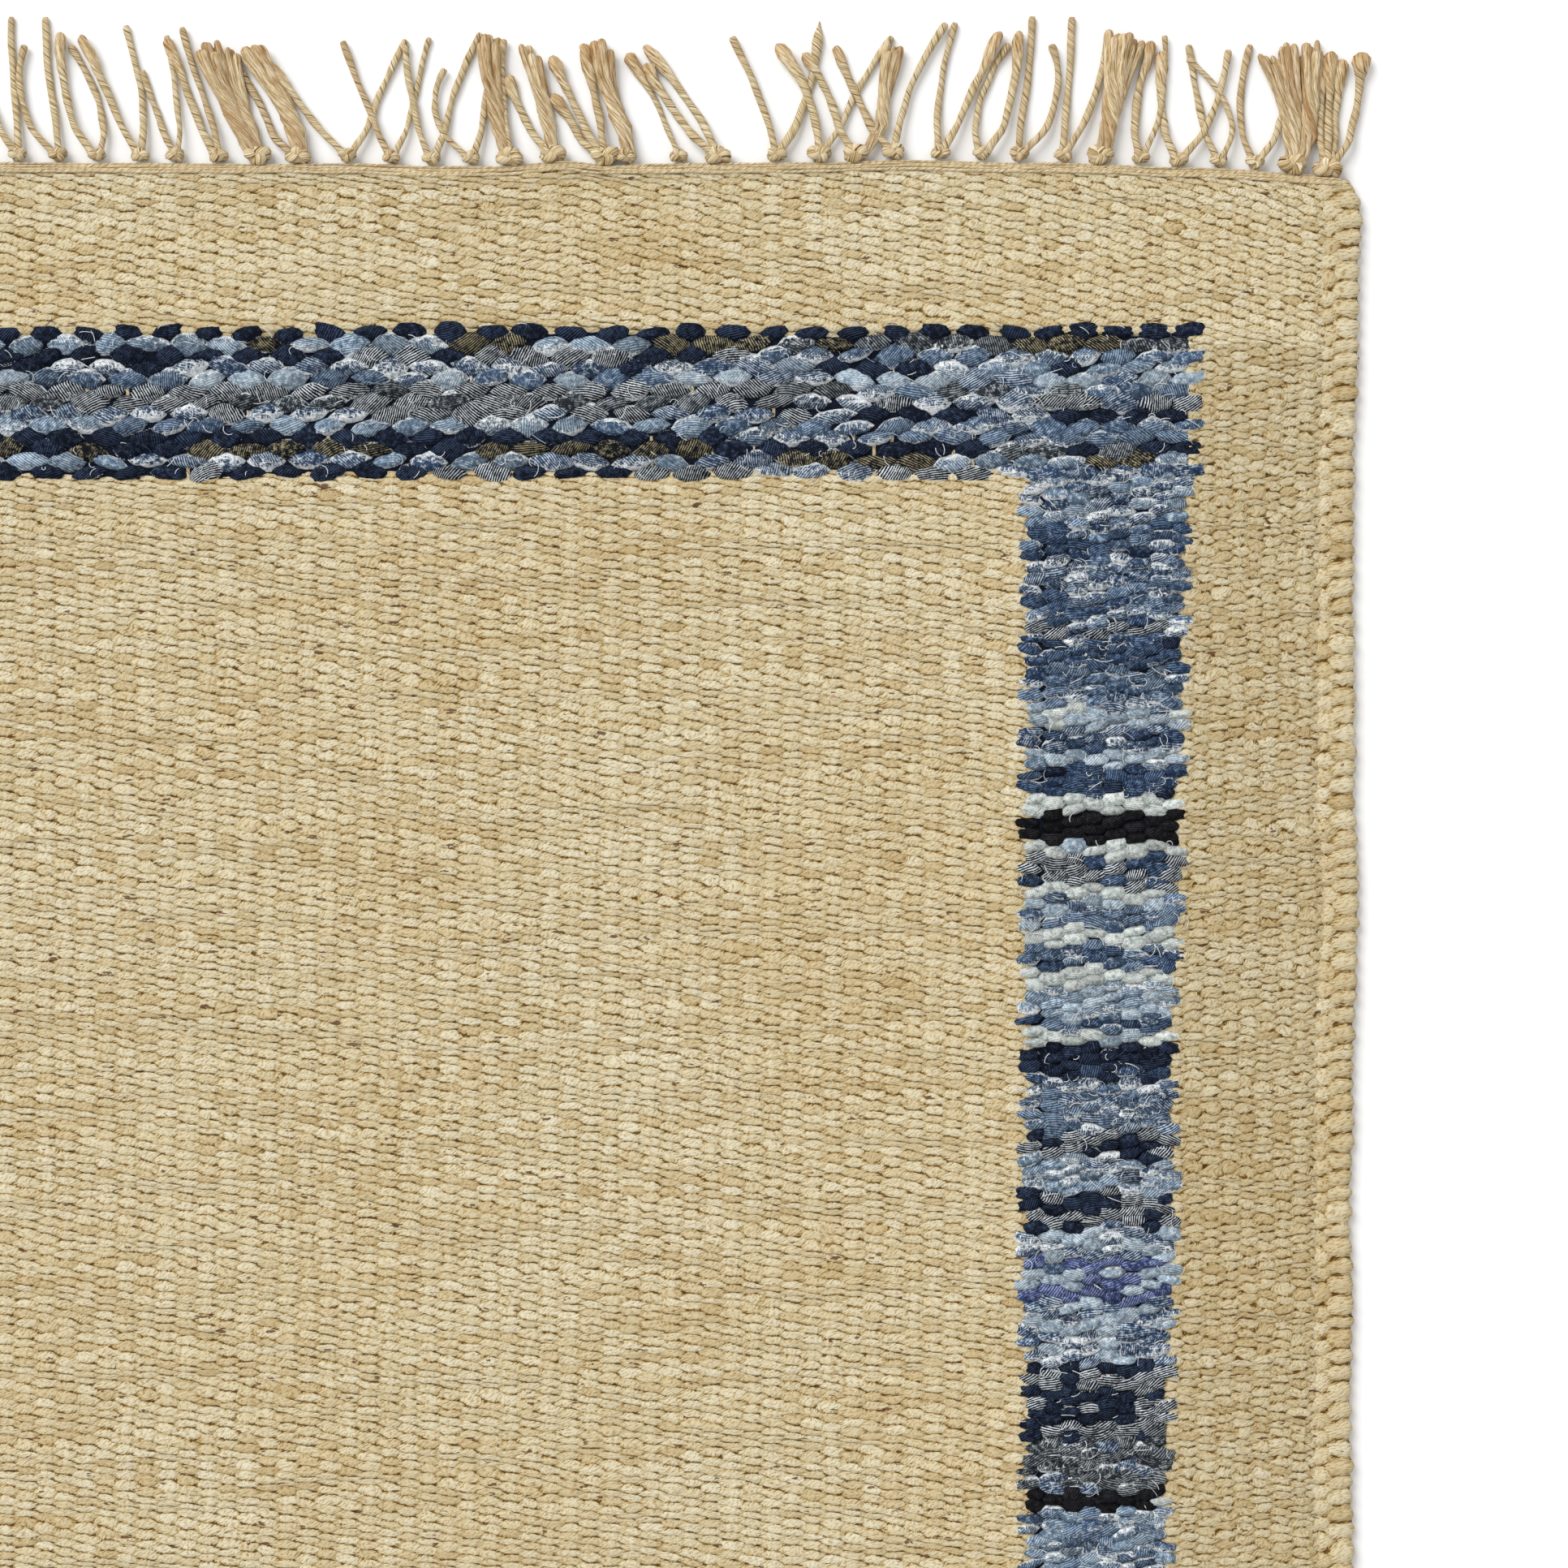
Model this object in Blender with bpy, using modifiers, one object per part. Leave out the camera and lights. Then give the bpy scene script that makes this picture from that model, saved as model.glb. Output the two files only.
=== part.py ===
"""A hand-woven jute rug with a denim-rag frame and a knotted warp fringe at both ends.

The origin is the middle of the underside. +X runs along the wefts to the right selvedge,
+Y along the warps to the far fringe, and +Z up. The rug turned half round on +Z is itself.
Tables are in millimetres, as a weaver would measure them. All else is in metres.
"""

import math
from typing import NamedTuple

import bmesh
import bpy
from mathutils import Matrix

MM = 0.001

# The cloth
RUG_WIDTH = 1.200
RUG_LENGTH = 1.800
JUTE_THICK = 0.0082
DENIM_RISE = 0.0014
DENIM_DEPTH = 0.0030
RIM_ROUND = 0.0026
RIM_STEPS = 2

# The denim frame across the two ends
END_MARGIN = 0.083
END_BAND = 0.075

# The fringe: a heading of fine cords, warp ends knotted in pairs, and the loose ends
SEAM_GAP = 0.0003
HEADING_WIDE = 0.0050
HEADING_THICK = 0.0056
HEADING_INSET = 0.0080
KNOT_WIDE = 0.0106
KNOT_LONG = 0.0092
KNOT_TALL = 0.0078
KNOT_LIFT = 0.0003
KNOT_OUT = 0.0034
KNOT_SEGMENTS = 6
KNOT_RINGS = 3
CORD_WIDE = 0.0042
CORD_SPREAD = 0.0030
CORD_APART = 0.0006
CORD_STEPS = 3
WIDEST_END = 0.0056
LONGEST_REACH = 0.070
LEAN_CURVE = 1.25
HIDDEN_SHIFT = 9


class Edge(NamedTuple):
    """How far an edge stands out from its straight line, at a distance along it."""

    along: float
    out: float


class Band(NamedTuple):
    """The side bands of the frame, at a distance from the far end."""

    along: float
    margin: float
    band: float


class Knot(NamedTuple):
    """A knot of two warp ends: where it is, then each end's lean, reach and end width."""

    place: float
    left_lean: float
    left_reach: float
    left_end: float
    right_lean: float
    right_reach: float
    right_end: float


class Cord(NamedTuple):
    """A loose warp end: where it leaves its knot, its tip's x, its reach and end width."""

    root: float
    tip: float
    reach: float
    wide: float


# The right selvedge, from the far end
SELVEDGE = (
    Edge(9, -5.0),
    Edge(26, 3.4),
    Edge(62, 2.0),
    Edge(100, 1.8),
    Edge(150, -0.2),
    Edge(220, -0.4),
    Edge(280, 0.8),
    Edge(319, -0.4),
    Edge(350, 2.0),
    Edge(404, 1.2),
    Edge(440, -0.2),
    Edge(500, -1.4),
    Edge(540, -2.2),
    Edge(562, -0.8),
    Edge(611, -1.8),
    Edge(690, -0.8),
    Edge(900, 0.0),
    Edge(1120, -0.8),
    Edge(1320, 0.6),
    Edge(1520, -0.4),
    Edge(1700, 1.0),
    Edge(1774, 2.0),
    Edge(1791, -5.0),
)

# The far end, from the right selvedge
FAR_END = (
    Edge(9, -6.5),
    Edge(32, -4.7),
    Edge(60, -2.6),
    Edge(89, -2.0),
    Edge(127, 0.0),
    Edge(175, 0.7),
    Edge(229, 2.0),
    Edge(263, 0.7),
    Edge(317, 0.0),
    Edge(378, -0.4),
    Edge(396, 1.6),
    Edge(425, -1.0),
    Edge(462, -1.8),
    Edge(500, 0.0),
    Edge(600, 0.0),
    Edge(700, 0.6),
    Edge(850, -0.6),
    Edge(1000, 0.6),
    Edge(1110, -1.5),
    Edge(1168, -4.5),
    Edge(1191, -6.5),
)

# The right side band, from the far end
SIDE_BAND = (
    Band(83, 85.0, 84.0),
    Band(170, 82.0, 83.0),
    Band(252, 85.0, 84.5),
    Band(333, 87.5, 80.0),
    Band(456, 90.5, 72.5),
    Band(537, 86.5, 76.5),
    Band(618, 91.5, 68.0),
    Band(700, 92.5, 70.5),
    Band(900, 91.0, 72.0),
    Band(1100, 88.0, 76.0),
    Band(1300, 86.0, 80.0),
    Band(1717, 85.0, 84.0),
)

# The far fringe's right half, from the middle of the rug
KNOTS = (
    Knot(9.5, -14, 45, 3, -5, 60, 4),
    Knot(30.5, -27, 60, 7, -19, 64, 4),
    Knot(49.1, -34, 58, 9, -23, 58, 8),
    Knot(69.4, -35, 54, 7, -24, 53, 8),
    Knot(95.8, -39, 45, 6, 28, 58, 4),
    Knot(116.9, -25, 58, 5, 19, 61, 3),
    Knot(137.2, -12, 57, 5, 26, 64, 6),
    Knot(157.5, -14, 45, 3, 13, 41, 4),
    Knot(176.2, -5, 63, 11, -6, 45, 5),
    Knot(197.3, -23, 43, 6, -12, 55, 8),
    Knot(219.1, -25, 50, 6, -9, 56, 6),
    Knot(235.3, -37, 28, 5, -10, 58, 8),
    Knot(261.1, -26, 53, 4, -20, 40, 4),
    Knot(280.5, -36, 46, 8, -36, 56, 7),
    Knot(310.2, -22, 60, 5, 21, 68, 7),
    Knot(330.9, -20, 57, 9, 33, 58, 5),
    Knot(349.6, -27, 50, 7, 20, 59, 8),
    Knot(367.8, -28, 54, 5, 27, 65, 5),
    Knot(392.2, 7, 65, 5, 30, 60, 5),
    Knot(412.9, 13, 56, 5, 19, 62, 7),
    Knot(431.6, 7, 70, 4, 16, 57, 4),
    Knot(452.7, 6, 70, 4, 24, 63, 4),
    Knot(472.2, 11, 66, 12, 20, 62, 8),
    Knot(492.5, 7, 60, 7, 13, 62, 4),
    Knot(511.6, -7, 55, 4, 25, 56, 5),
    Knot(531.0, -15, 53, 4, -14, 59, 5),
    Knot(550.5, -2, 60, 4, 16, 59, 5),
    Knot(569.6, -10, 58, 12, 10, 60, 9),
    Knot(586.3, 1, 54, 8, 16, 51, 9),
)


def between(table, along, column):
    """The value of a column at a distance, on straight lines between the table's rows."""
    along = min(max(along, table[0].along), table[-1].along)
    for low, high in zip(table, table[1:]):
        if along <= high.along:
            share = (along - low.along) / (high.along - low.along)
            start, end = getattr(low, column), getattr(high, column)
            return start + (end - start) * share
    return getattr(table[-1], column)


def selvedge_x(y):
    """Where the right selvedge is at y."""
    from_far_end = (RUG_LENGTH / 2 - y) / MM
    return RUG_WIDTH / 2 + between(SELVEDGE, from_far_end, "out") * MM


def far_end_y(x):
    """Where the far end of the cloth is at x."""
    from_selvedge = (RUG_WIDTH / 2 - x) / MM
    return RUG_LENGTH / 2 + between(FAR_END, from_selvedge, "out") * MM


def turned(points):
    """The points turned half round on the rug's middle."""
    return [(-x, -y) for x, y in points]


def cloth_outline():
    """The cloth's edge: the right selvedge, the far end, and both turned half round."""
    side_stations = [RUG_LENGTH / 2 - row.along * MM for row in reversed(SELVEDGE)]
    end_stations = [RUG_WIDTH / 2 - row.along * MM for row in FAR_END]
    side = [(selvedge_x(y), y) for y in side_stations]
    end = [(x, far_end_y(x)) for x in end_stations]
    return side + end + turned(side + end)


def band_edges():
    """The frame's outer and inner edges, each a closed run of points."""
    outer, inner = [], []
    for row in reversed(SIDE_BAND):
        y = RUG_LENGTH / 2 - row.along * MM
        outside = selvedge_x(y) - row.margin * MM
        outer.append((outside, y))
        inset = END_BAND if row in (SIDE_BAND[0], SIDE_BAND[-1]) else 0.0
        inner.append((outside - row.band * MM, y - math.copysign(inset, y)))
    return outer + turned(outer), inner + turned(inner)


def flat_shape(name, loops, thick, bottom):
    """A mesh object: loops of points filled flat, thick metres deep, from bottom upwards."""
    curve = bpy.data.curves.new(name + "_outline", "CURVE")
    curve.dimensions = "2D"
    curve.fill_mode = "BOTH"
    curve.extrude = thick / 2
    for loop in loops:
        spline = curve.splines.new("POLY")
        spline.points.add(len(loop) - 1)
        for point, (x, y) in zip(spline.points, loop):
            point.co = (x, y, 0.0, 1.0)
        spline.use_cyclic_u = True
    return meshed(name, curve, bottom + thick / 2)


def meshed(name, curve, height=0.0):
    """A mesh object made from a curve, with its caps welded on and raised to height."""
    guide = bpy.data.objects.new(name + "_guide", curve)
    bpy.context.scene.collection.objects.link(guide)
    graph = bpy.context.evaluated_depsgraph_get()
    mesh = bpy.data.meshes.new_from_object(guide.evaluated_get(graph))
    shape = bmesh.new()
    shape.from_mesh(mesh)
    bmesh.ops.remove_doubles(shape, verts=shape.verts, dist=1e-6)
    bmesh.ops.translate(shape, verts=shape.verts, vec=(0.0, 0.0, height))
    bmesh.ops.recalc_face_normals(shape, faces=shape.faces)
    shape.to_mesh(mesh)
    shape.free()
    bpy.data.objects.remove(guide)
    return bpy.data.objects.new(name, mesh)


def finish_of(name, colour, roughness):
    """A plain cloth finish."""
    material = bpy.data.materials.new(name)
    material.use_nodes = True
    shader = material.node_tree.nodes["Principled BSDF"]
    shader.inputs["Base Color"].default_value = (*colour, 1.0)
    shader.inputs["Roughness"].default_value = roughness
    shader.inputs["Metallic"].default_value = 0.0
    return material


def join(target, other):
    """Adds a Boolean union with other to target."""
    union = target.modifiers.new("join_" + other.name, "BOOLEAN")
    union.operation = "UNION"
    union.solver = "EXACT"
    union.material_mode = "TRANSFER"
    union.object = other


def put_away(helper, helpers):
    """Keeps a helper out of the render."""
    helpers.objects.link(helper)
    helper.hide_render = True
    helper.display_type = "WIRE"


def make_cloth(rug, helpers, jute, denim):
    """The woven cloth with its rounded rim, and the denim frame a little proud of it."""
    cloth = flat_shape("rug_cloth", [cloth_outline()], JUTE_THICK, 0.0)
    cloth.data.materials.append(jute)
    rim = cloth.modifiers.new("rounded_rim", "BEVEL")
    rim.width = RIM_ROUND
    rim.segments = RIM_STEPS
    rim.limit_method = "ANGLE"
    rim.angle_limit = math.radians(60)
    bottom = JUTE_THICK - DENIM_DEPTH
    frame = flat_shape("denim_frame", band_edges(), DENIM_DEPTH + DENIM_RISE, bottom)
    frame.data.materials.append(denim)
    put_away(frame, helpers)
    join(cloth, frame)
    rug.objects.link(cloth)


def heading_outline():
    """The narrow strip of fine cords that the knots are drawn against."""
    reach = RUG_WIDTH / 2 - HEADING_INSET
    inside = [RUG_WIDTH / 2 - row.along * MM for row in FAR_END[1:-1]]
    stations = [reach, *inside, -reach]
    near = [(x, far_end_y(x) + SEAM_GAP) for x in stations]
    return near + [(x, y + HEADING_WIDE) for x, y in reversed(near)]


def mirrored(knot, place):
    """A knot's row for the other half of the fringe, at its own place."""
    return Knot(
        -place,
        -knot.right_lean,
        knot.right_reach,
        knot.right_end,
        -knot.left_lean,
        knot.left_reach,
        knot.left_end,
    )


def all_knots():
    """Every knot of the far fringe, from left to right."""
    count = len(KNOTS)
    hidden = [
        mirrored(KNOTS[(i + HIDDEN_SHIFT) % count], knot.place)
        for i, knot in enumerate(KNOTS)
    ]
    return hidden[::-1] + list(KNOTS)


def lean_share(y):
    """How much of its lean a cord has at y beyond the knot: little at first, then more."""
    return (y / LONGEST_REACH) ** LEAN_CURVE


def slant(cord):
    """How much wider a leaning cord is along x than across itself, at its tip."""
    return math.hypot(1.0, LEAN_CURVE * (cord.tip - cord.root) / LONGEST_REACH)


def kept_apart(cords):
    """Tips in order and at least the cords' widths apart, moved as little both ways."""
    tips = [cord.tip for cord in cords]
    gaps = [
        (a.wide + b.wide) / 2 * max(slant(a), slant(b)) + CORD_APART
        for a, b in zip(cords, cords[1:])
    ]
    rising = [tips[0]]
    for tip, gap in zip(tips[1:], gaps):
        rising.append(max(tip, rising[-1] + gap))
    falling = [tips[-1]]
    for tip, gap in zip(reversed(tips[:-1]), reversed(gaps)):
        falling.append(min(tip, falling[-1] - gap))
    return [(a + b) / 2 for a, b in zip(rising, reversed(falling))]


def all_cords():
    """Every loose warp end of the far fringe, in order from left to right."""
    roots, ends = [], []
    for knot in all_knots():
        for side, lean, reach, end in (
            (-1, knot.left_lean, knot.left_reach, knot.left_end),
            (1, knot.right_lean, knot.right_reach, knot.right_end),
        ):
            root = knot.place * MM + side * CORD_SPREAD
            wide = min(max(end * MM, CORD_WIDE), WIDEST_END)
            roots.append(root)
            ends.append((root + lean * MM / lean_share(reach * MM), reach * MM, wide))
    cords = [Cord(root, *end) for root, end in zip(roots, sorted(ends))]
    tips = kept_apart(cords)
    return [cord._replace(tip=tip) for cord, tip in zip(cords, tips)]


def make_cords():
    """The loose warp ends: four-sided tubes that lie flat on the floor, none touching."""
    curve = bpy.data.curves.new("cords", "CURVE")
    curve.dimensions = "3D"
    curve.twist_mode = "Z_UP"
    curve.bevel_depth = CORD_WIDE * math.sqrt(0.5)
    curve.bevel_resolution = 0
    curve.use_fill_caps = True
    for cord in all_cords():
        spline = curve.splines.new("POLY")
        spline.points.add(CORD_STEPS)
        start = far_end_y(cord.root) + SEAM_GAP + HEADING_WIDE + KNOT_OUT
        length = cord.reach - KNOT_OUT
        size = (1.0 + cord.wide / CORD_WIDE) / 2
        for step, point in enumerate(spline.points):
            out = length * step / CORD_STEPS
            share = lean_share(out)
            x = cord.root + (cord.tip - cord.root) * share
            point.co = (x, start + out, CORD_WIDE * size / 2, 1.0)
            point.radius = size
            point.tilt = math.radians(45)
    return meshed("cords", curve)


def make_knots():
    """The knots, as low rounded lumps just above the floor."""
    shape = bmesh.new()
    for knot in all_knots():
        x = knot.place * MM
        y = far_end_y(x) + SEAM_GAP + HEADING_WIDE + KNOT_OUT
        z = KNOT_LIFT + KNOT_TALL / 2
        size = Matrix.Diagonal((KNOT_WIDE / 2, KNOT_LONG / 2, KNOT_TALL / 2, 1.0))
        bmesh.ops.create_uvsphere(
            shape,
            u_segments=KNOT_SEGMENTS,
            v_segments=KNOT_RINGS,
            radius=1.0,
            matrix=Matrix.Translation((x, y, z)) @ size,
        )
    mesh = bpy.data.meshes.new("knots")
    shape.to_mesh(mesh)
    shape.free()
    return bpy.data.objects.new("knots", mesh)


def make_fringes(rug, helpers, cord_finish):
    """The far fringe, joined into one piece, and the near one, the same turned round."""
    heading = flat_shape("heading", [heading_outline()], HEADING_THICK, 0.0)
    put_away(heading, helpers)
    for piece in (make_knots(), make_cords()):
        put_away(piece, helpers)
        join(heading, piece)
    graph = bpy.context.evaluated_depsgraph_get()
    mesh = bpy.data.meshes.new_from_object(heading.evaluated_get(graph))
    mesh.name = "fringe"
    mesh.materials.clear()
    mesh.materials.append(cord_finish)
    for name, turn in (("fringe_far", 0.0), ("fringe_near", math.pi)):
        fringe = bpy.data.objects.new(name, mesh)
        fringe.rotation_euler.z = turn
        rug.objects.link(fringe)


def new_collection(name):
    """A collection in the scene."""
    made = bpy.data.collections.new(name)
    bpy.context.scene.collection.children.link(made)
    return made


def main():
    """Clears the scene and builds the rug."""
    for old in list(bpy.data.objects):
        bpy.data.objects.remove(old)
    rug = new_collection("jute_rug")
    helpers = new_collection("helpers")
    jute = finish_of("jute_weave", (0.58, 0.44, 0.25), 0.85)
    denim = finish_of("denim_rag", (0.10, 0.15, 0.25), 0.9)
    cord = finish_of("jute_cord", (0.50, 0.37, 0.21), 0.8)
    make_cloth(rug, helpers, jute, denim)
    make_fringes(rug, helpers, cord)


main()
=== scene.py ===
"""The looks of a hand-woven jute rug with a denim-rag frame and knotted warp fringes.

Everything is in metres in the CAD part's frame: the origin is the middle of the underside,
+X runs along the wefts, +Y along the warps and +Z up. The tables are in millimetres.

Two counts lay the weave out. u counts warp columns from the rug's middle, and v counts
beads, which are the wefts' floats over one column. Where a column number is even its beads
are centred half way between whole v, and where it is odd on whole v, as in a plain weave.
"""

import logging
import math
from dataclasses import dataclass, field
from enum import Enum
from typing import Any, NamedTuple

import bpy
import numpy as np
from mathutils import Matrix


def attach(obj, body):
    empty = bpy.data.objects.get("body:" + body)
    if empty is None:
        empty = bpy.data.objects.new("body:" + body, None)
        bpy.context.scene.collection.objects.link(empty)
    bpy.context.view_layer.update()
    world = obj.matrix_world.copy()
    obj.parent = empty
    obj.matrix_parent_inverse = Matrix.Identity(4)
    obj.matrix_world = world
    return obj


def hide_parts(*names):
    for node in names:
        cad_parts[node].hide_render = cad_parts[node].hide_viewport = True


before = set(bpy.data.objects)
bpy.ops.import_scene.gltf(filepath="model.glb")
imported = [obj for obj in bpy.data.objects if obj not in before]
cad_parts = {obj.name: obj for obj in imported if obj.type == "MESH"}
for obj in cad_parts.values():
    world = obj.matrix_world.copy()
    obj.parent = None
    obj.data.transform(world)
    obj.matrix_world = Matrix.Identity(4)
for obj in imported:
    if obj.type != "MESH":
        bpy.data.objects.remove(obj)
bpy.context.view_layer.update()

Material = bpy.types.Material
Piece = bpy.types.Object
Sockets = dict[str, bpy.types.NodeSocket]
Sizes = tuple[float, float, float]

MM = 0.001
ROOT = "root"
log = logging.getLogger("jute_rug")


# Tables


class Edge(NamedTuple):
    """How far an edge stands out from its straight line, at a distance along it."""

    along: float
    out: float


class Band(NamedTuple):
    """The side bands of the frame, at a distance from the far end."""

    along: float
    margin: float


SELVEDGE = (
    Edge(9, -5.0),
    Edge(13, 0.6),
    Edge(19, 2.6),
    Edge(26, 3.4),
    Edge(62, 2.0),
    Edge(100, 1.8),
    Edge(150, -0.2),
    Edge(220, -0.4),
    Edge(280, 0.8),
    Edge(319, -0.4),
    Edge(350, 2.0),
    Edge(404, 1.2),
    Edge(440, -0.2),
    Edge(500, -1.4),
    Edge(540, -2.2),
    Edge(562, -0.8),
    Edge(611, -1.8),
    Edge(690, -0.8),
    Edge(900, 0.0),
    Edge(1120, -0.8),
    Edge(1320, 0.6),
    Edge(1520, -0.4),
    Edge(1700, 1.0),
    Edge(1774, 2.0),
    Edge(1786, 0.6),
    Edge(1791, -5.0),
)

FAR_END = (
    Edge(9, -6.5),
    Edge(32, -4.7),
    Edge(60, -2.6),
    Edge(89, -2.0),
    Edge(127, 0.0),
    Edge(175, 0.7),
    Edge(229, 2.0),
    Edge(263, 0.7),
    Edge(317, 0.0),
    Edge(378, -0.4),
    Edge(396, 1.6),
    Edge(425, -1.0),
    Edge(462, -1.8),
    Edge(500, 0.0),
    Edge(600, 0.0),
    Edge(700, 0.6),
    Edge(850, -0.6),
    Edge(1000, 0.6),
    Edge(1110, -1.5),
    Edge(1168, -4.5),
    Edge(1191, -6.5),
)

SIDE_BAND = (
    Band(83, 85.0),
    Band(170, 82.0),
    Band(252, 85.0),
    Band(333, 87.5),
    Band(456, 90.5),
    Band(537, 86.5),
    Band(618, 91.5),
    Band(700, 92.5),
    Band(900, 91.0),
    Band(1100, 88.0),
    Band(1300, 86.0),
    Band(1717, 85.0),
)


class Tip(Enum):
    """How a loose warp end finishes."""

    CORD = "cut clean"
    FLARED = "opened out at its end"
    LOOSE = "untwisted all along"
    BALL = "curled into a small ball"
    POINT = "drawn to a point"


class Strand(NamedTuple):
    """A loose warp end: its knot, its root beside it, its lean, reach, bow and width."""

    knot: float
    root: float
    lean: float
    reach: float
    bow: float
    wide: float
    tip: Tip


STRANDS = (
    Strand(8.9, -2.0, -15, 46, 0.0, 3.7, Tip.CORD),
    Strand(8.9, 3.2, -8, 63, 0.9, 2.4, Tip.CORD),
    Strand(30.5, -4.9, -22, 61, 1.1, 5.7, Tip.FLARED),
    Strand(30.5, 2.8, -22, 67, -0.5, 3.7, Tip.CORD),
    Strand(50.0, -1.6, -24, 60, -2.0, 10.2, Tip.LOOSE),
    Strand(50.0, 3.2, -17, 57, -3.0, 7.5, Tip.LOOSE),
    Strand(70.3, -9.0, -20, 45, 1.7, 4.1, Tip.CORD),
    Strand(70.3, 4.0, -29, 57, 2.5, 10.2, Tip.LOOSE),
    Strand(95.1, -2.8, -36, 48, -0.7, 3.7, Tip.FLARED),
    Strand(95.1, 5.3, 24, 61, -1.8, 3.7, Tip.CORD),
    Strand(117.0, -2.0, -23, 61, 0.1, 3.7, Tip.CORD),
    Strand(117.0, 4.9, 14, 63, -0.6, 2.4, Tip.CORD),
    Strand(137.3, -2.4, -11, 60, -1.6, 3.7, Tip.CORD),
    Strand(137.3, 6.1, 19, 66, -4.8, 3.7, Tip.CORD),
    Strand(157.2, -4.5, -9, 48, -8.9, 2.4, Tip.CORD),
    Strand(157.2, 3.7, 10, 63, -1.6, 3.7, Tip.FLARED),
    Strand(176.3, -2.4, -8, 66, -1.5, 9.4, Tip.LOOSE),
    Strand(176.3, 2.0, -5, 62, -2.8, 3.7, Tip.CORD),
    Strand(197.4, -3.7, -18, 42, -2.0, 6.5, Tip.FLARED),
    Strand(197.4, 2.8, -15, 58, 0.0, 7.8, Tip.LOOSE),
    Strand(224.2, -4.1, -23, 53, 0.5, 4.6, Tip.FLARED),
    Strand(224.2, -6.9, -19, 34, 0.5, 6.5, Tip.FLARED),
    Strand(224.2, 0.4, -11, 59, 0.5, 5.7, Tip.FLARED),
    Strand(234.8, 6.9, -19, 61, -4.5, 9.0, Tip.LOOSE),
    Strand(261.2, -0.8, -25, 54, 2.6, 2.8, Tip.FLARED),
    Strand(280.7, -4.1, -32, 49, -2.2, 6.5, Tip.FLARED),
    Strand(280.7, 1.2, -38, 58, 2.7, 5.3, Tip.FLARED),
    Strand(310.0, 0.8, -23, 62, 2.2, 3.7, Tip.CORD),
    Strand(310.0, 3.7, 18, 70, 3.8, 4.1, Tip.POINT),
    Strand(331.9, -1.6, -20, 58, 6.4, 7.3, Tip.FLARED),
    Strand(331.9, 5.3, 31, 62, -3.1, 3.7, Tip.CORD),
    Strand(349.8, -6.1, -20, 53, 4.2, 6.5, Tip.BALL),
    Strand(349.8, 12.2, 8, 59, -1.6, 7.3, Tip.LOOSE),
    Strand(369.3, -5.3, -24, 56, -1.0, 5.7, Tip.BALL),
    Strand(369.3, -0.4, 27, 67, -4.6, 3.7, Tip.CORD),
    Strand(392.4, -2.0, 10, 68, -3.0, 3.7, Tip.CORD),
    Strand(392.4, 3.2, 27, 63, -0.7, 4.1, Tip.FLARED),
    Strand(413.1, -2.8, 17, 58, -5.9, 3.7, Tip.CORD),
    Strand(413.1, 6.5, 12, 64, 3.0, 4.1, Tip.FLARED),
    Strand(431.8, -2.0, 9, 72, 1.8, 3.7, Tip.CORD),
    Strand(431.8, 5.7, 11, 58, 7.3, 3.7, Tip.CORD),
    Strand(454.2, -2.0, 6, 72, 1.6, 3.7, Tip.CORD),
    Strand(454.2, 2.0, 20, 61, 3.6, 3.7, Tip.CORD),
    Strand(472.4, 2.0, 8, 65, 0.9, 10.6, Tip.LOOSE),
    Strand(472.4, 0.0, 19, 63, -0.2, 8.1, Tip.LOOSE),
    Strand(492.8, -2.8, 9, 61, -2.9, 5.4, Tip.FLARED),
    Strand(492.8, 3.2, 9, 64, 3.2, 2.4, Tip.CORD),
    Strand(511.8, -3.7, -4, 57, -2.2, 5.7, Tip.FLARED),
    Strand(511.8, 4.9, 20, 58, 3.7, 3.7, Tip.CORD),
    Strand(532.2, -2.8, -12, 61, -1.7, 3.7, Tip.CORD),
    Strand(532.2, 3.2, -19, 54, 10.8, 2.4, Tip.CORD),
    Strand(550.4, -2.8, 1, 62, -4.9, 3.7, Tip.CORD),
    Strand(550.4, 4.1, 13, 44, 2.0, 3.7, Tip.CORD),
    Strand(569.1, -2.0, -11, 58, 4.2, 7.0, Tip.LOOSE),
    Strand(569.1, 1.6, -5, 65, 1.6, 8.4, Tip.LOOSE),
    Strand(569.1, 6.9, 3, 65, 0.6, 8.8, Tip.LOOSE),
    Strand(586.6, -4.1, 3, 59, -0.4, 4.3, Tip.FLARED),
    Strand(586.6, 0.6, 2, 61, -0.8, 4.3, Tip.FLARED),
    Strand(586.6, 3.7, 4, 57, -1.2, 4.9, Tip.FLARED),
    Strand(586.6, 6.9, 10, 60, 2.2, 9.6, Tip.BALL),
)


class Wash(Enum):
    """The washes of denim that the rags were cut from: face colour, back colour, fray."""

    NAVY = ("#131927", "#344158", 0.50)
    DARK = ("#26364F", "#5F738C", 0.80)
    MID = ("#3E5068", "#8D9EAF", 1.00)
    LIGHT = ("#5F7387", "#AFBCC6", 1.10)
    PALE = ("#8798A6", "#C4CDD1", 0.75)
    WHITE = ("#B4BCB8", "#D6D9D4", 0.50)
    VIOLET = ("#3A4670", "#8C96B8", 0.60)
    BLACK = ("#111114", "#29292D", 0.20)
    STRIPED = ("#10141F", "#B9BFC2", 0.65)
    MELANGE = ("#30435E", "#B2BCC4", 1.15)
    OLIVE = ("#171A20", "#958B6C", 0.55)
    GREY = ("#2B3036", "#92989B", 0.80)


class Pick(NamedTuple):
    """A row of denim in the end bands, from the far side in.

    It has two washes and their mix, and another main wash near the rug's corners.
    """

    main: Wash
    other: Wash
    share: float
    outer: Wash


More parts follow.
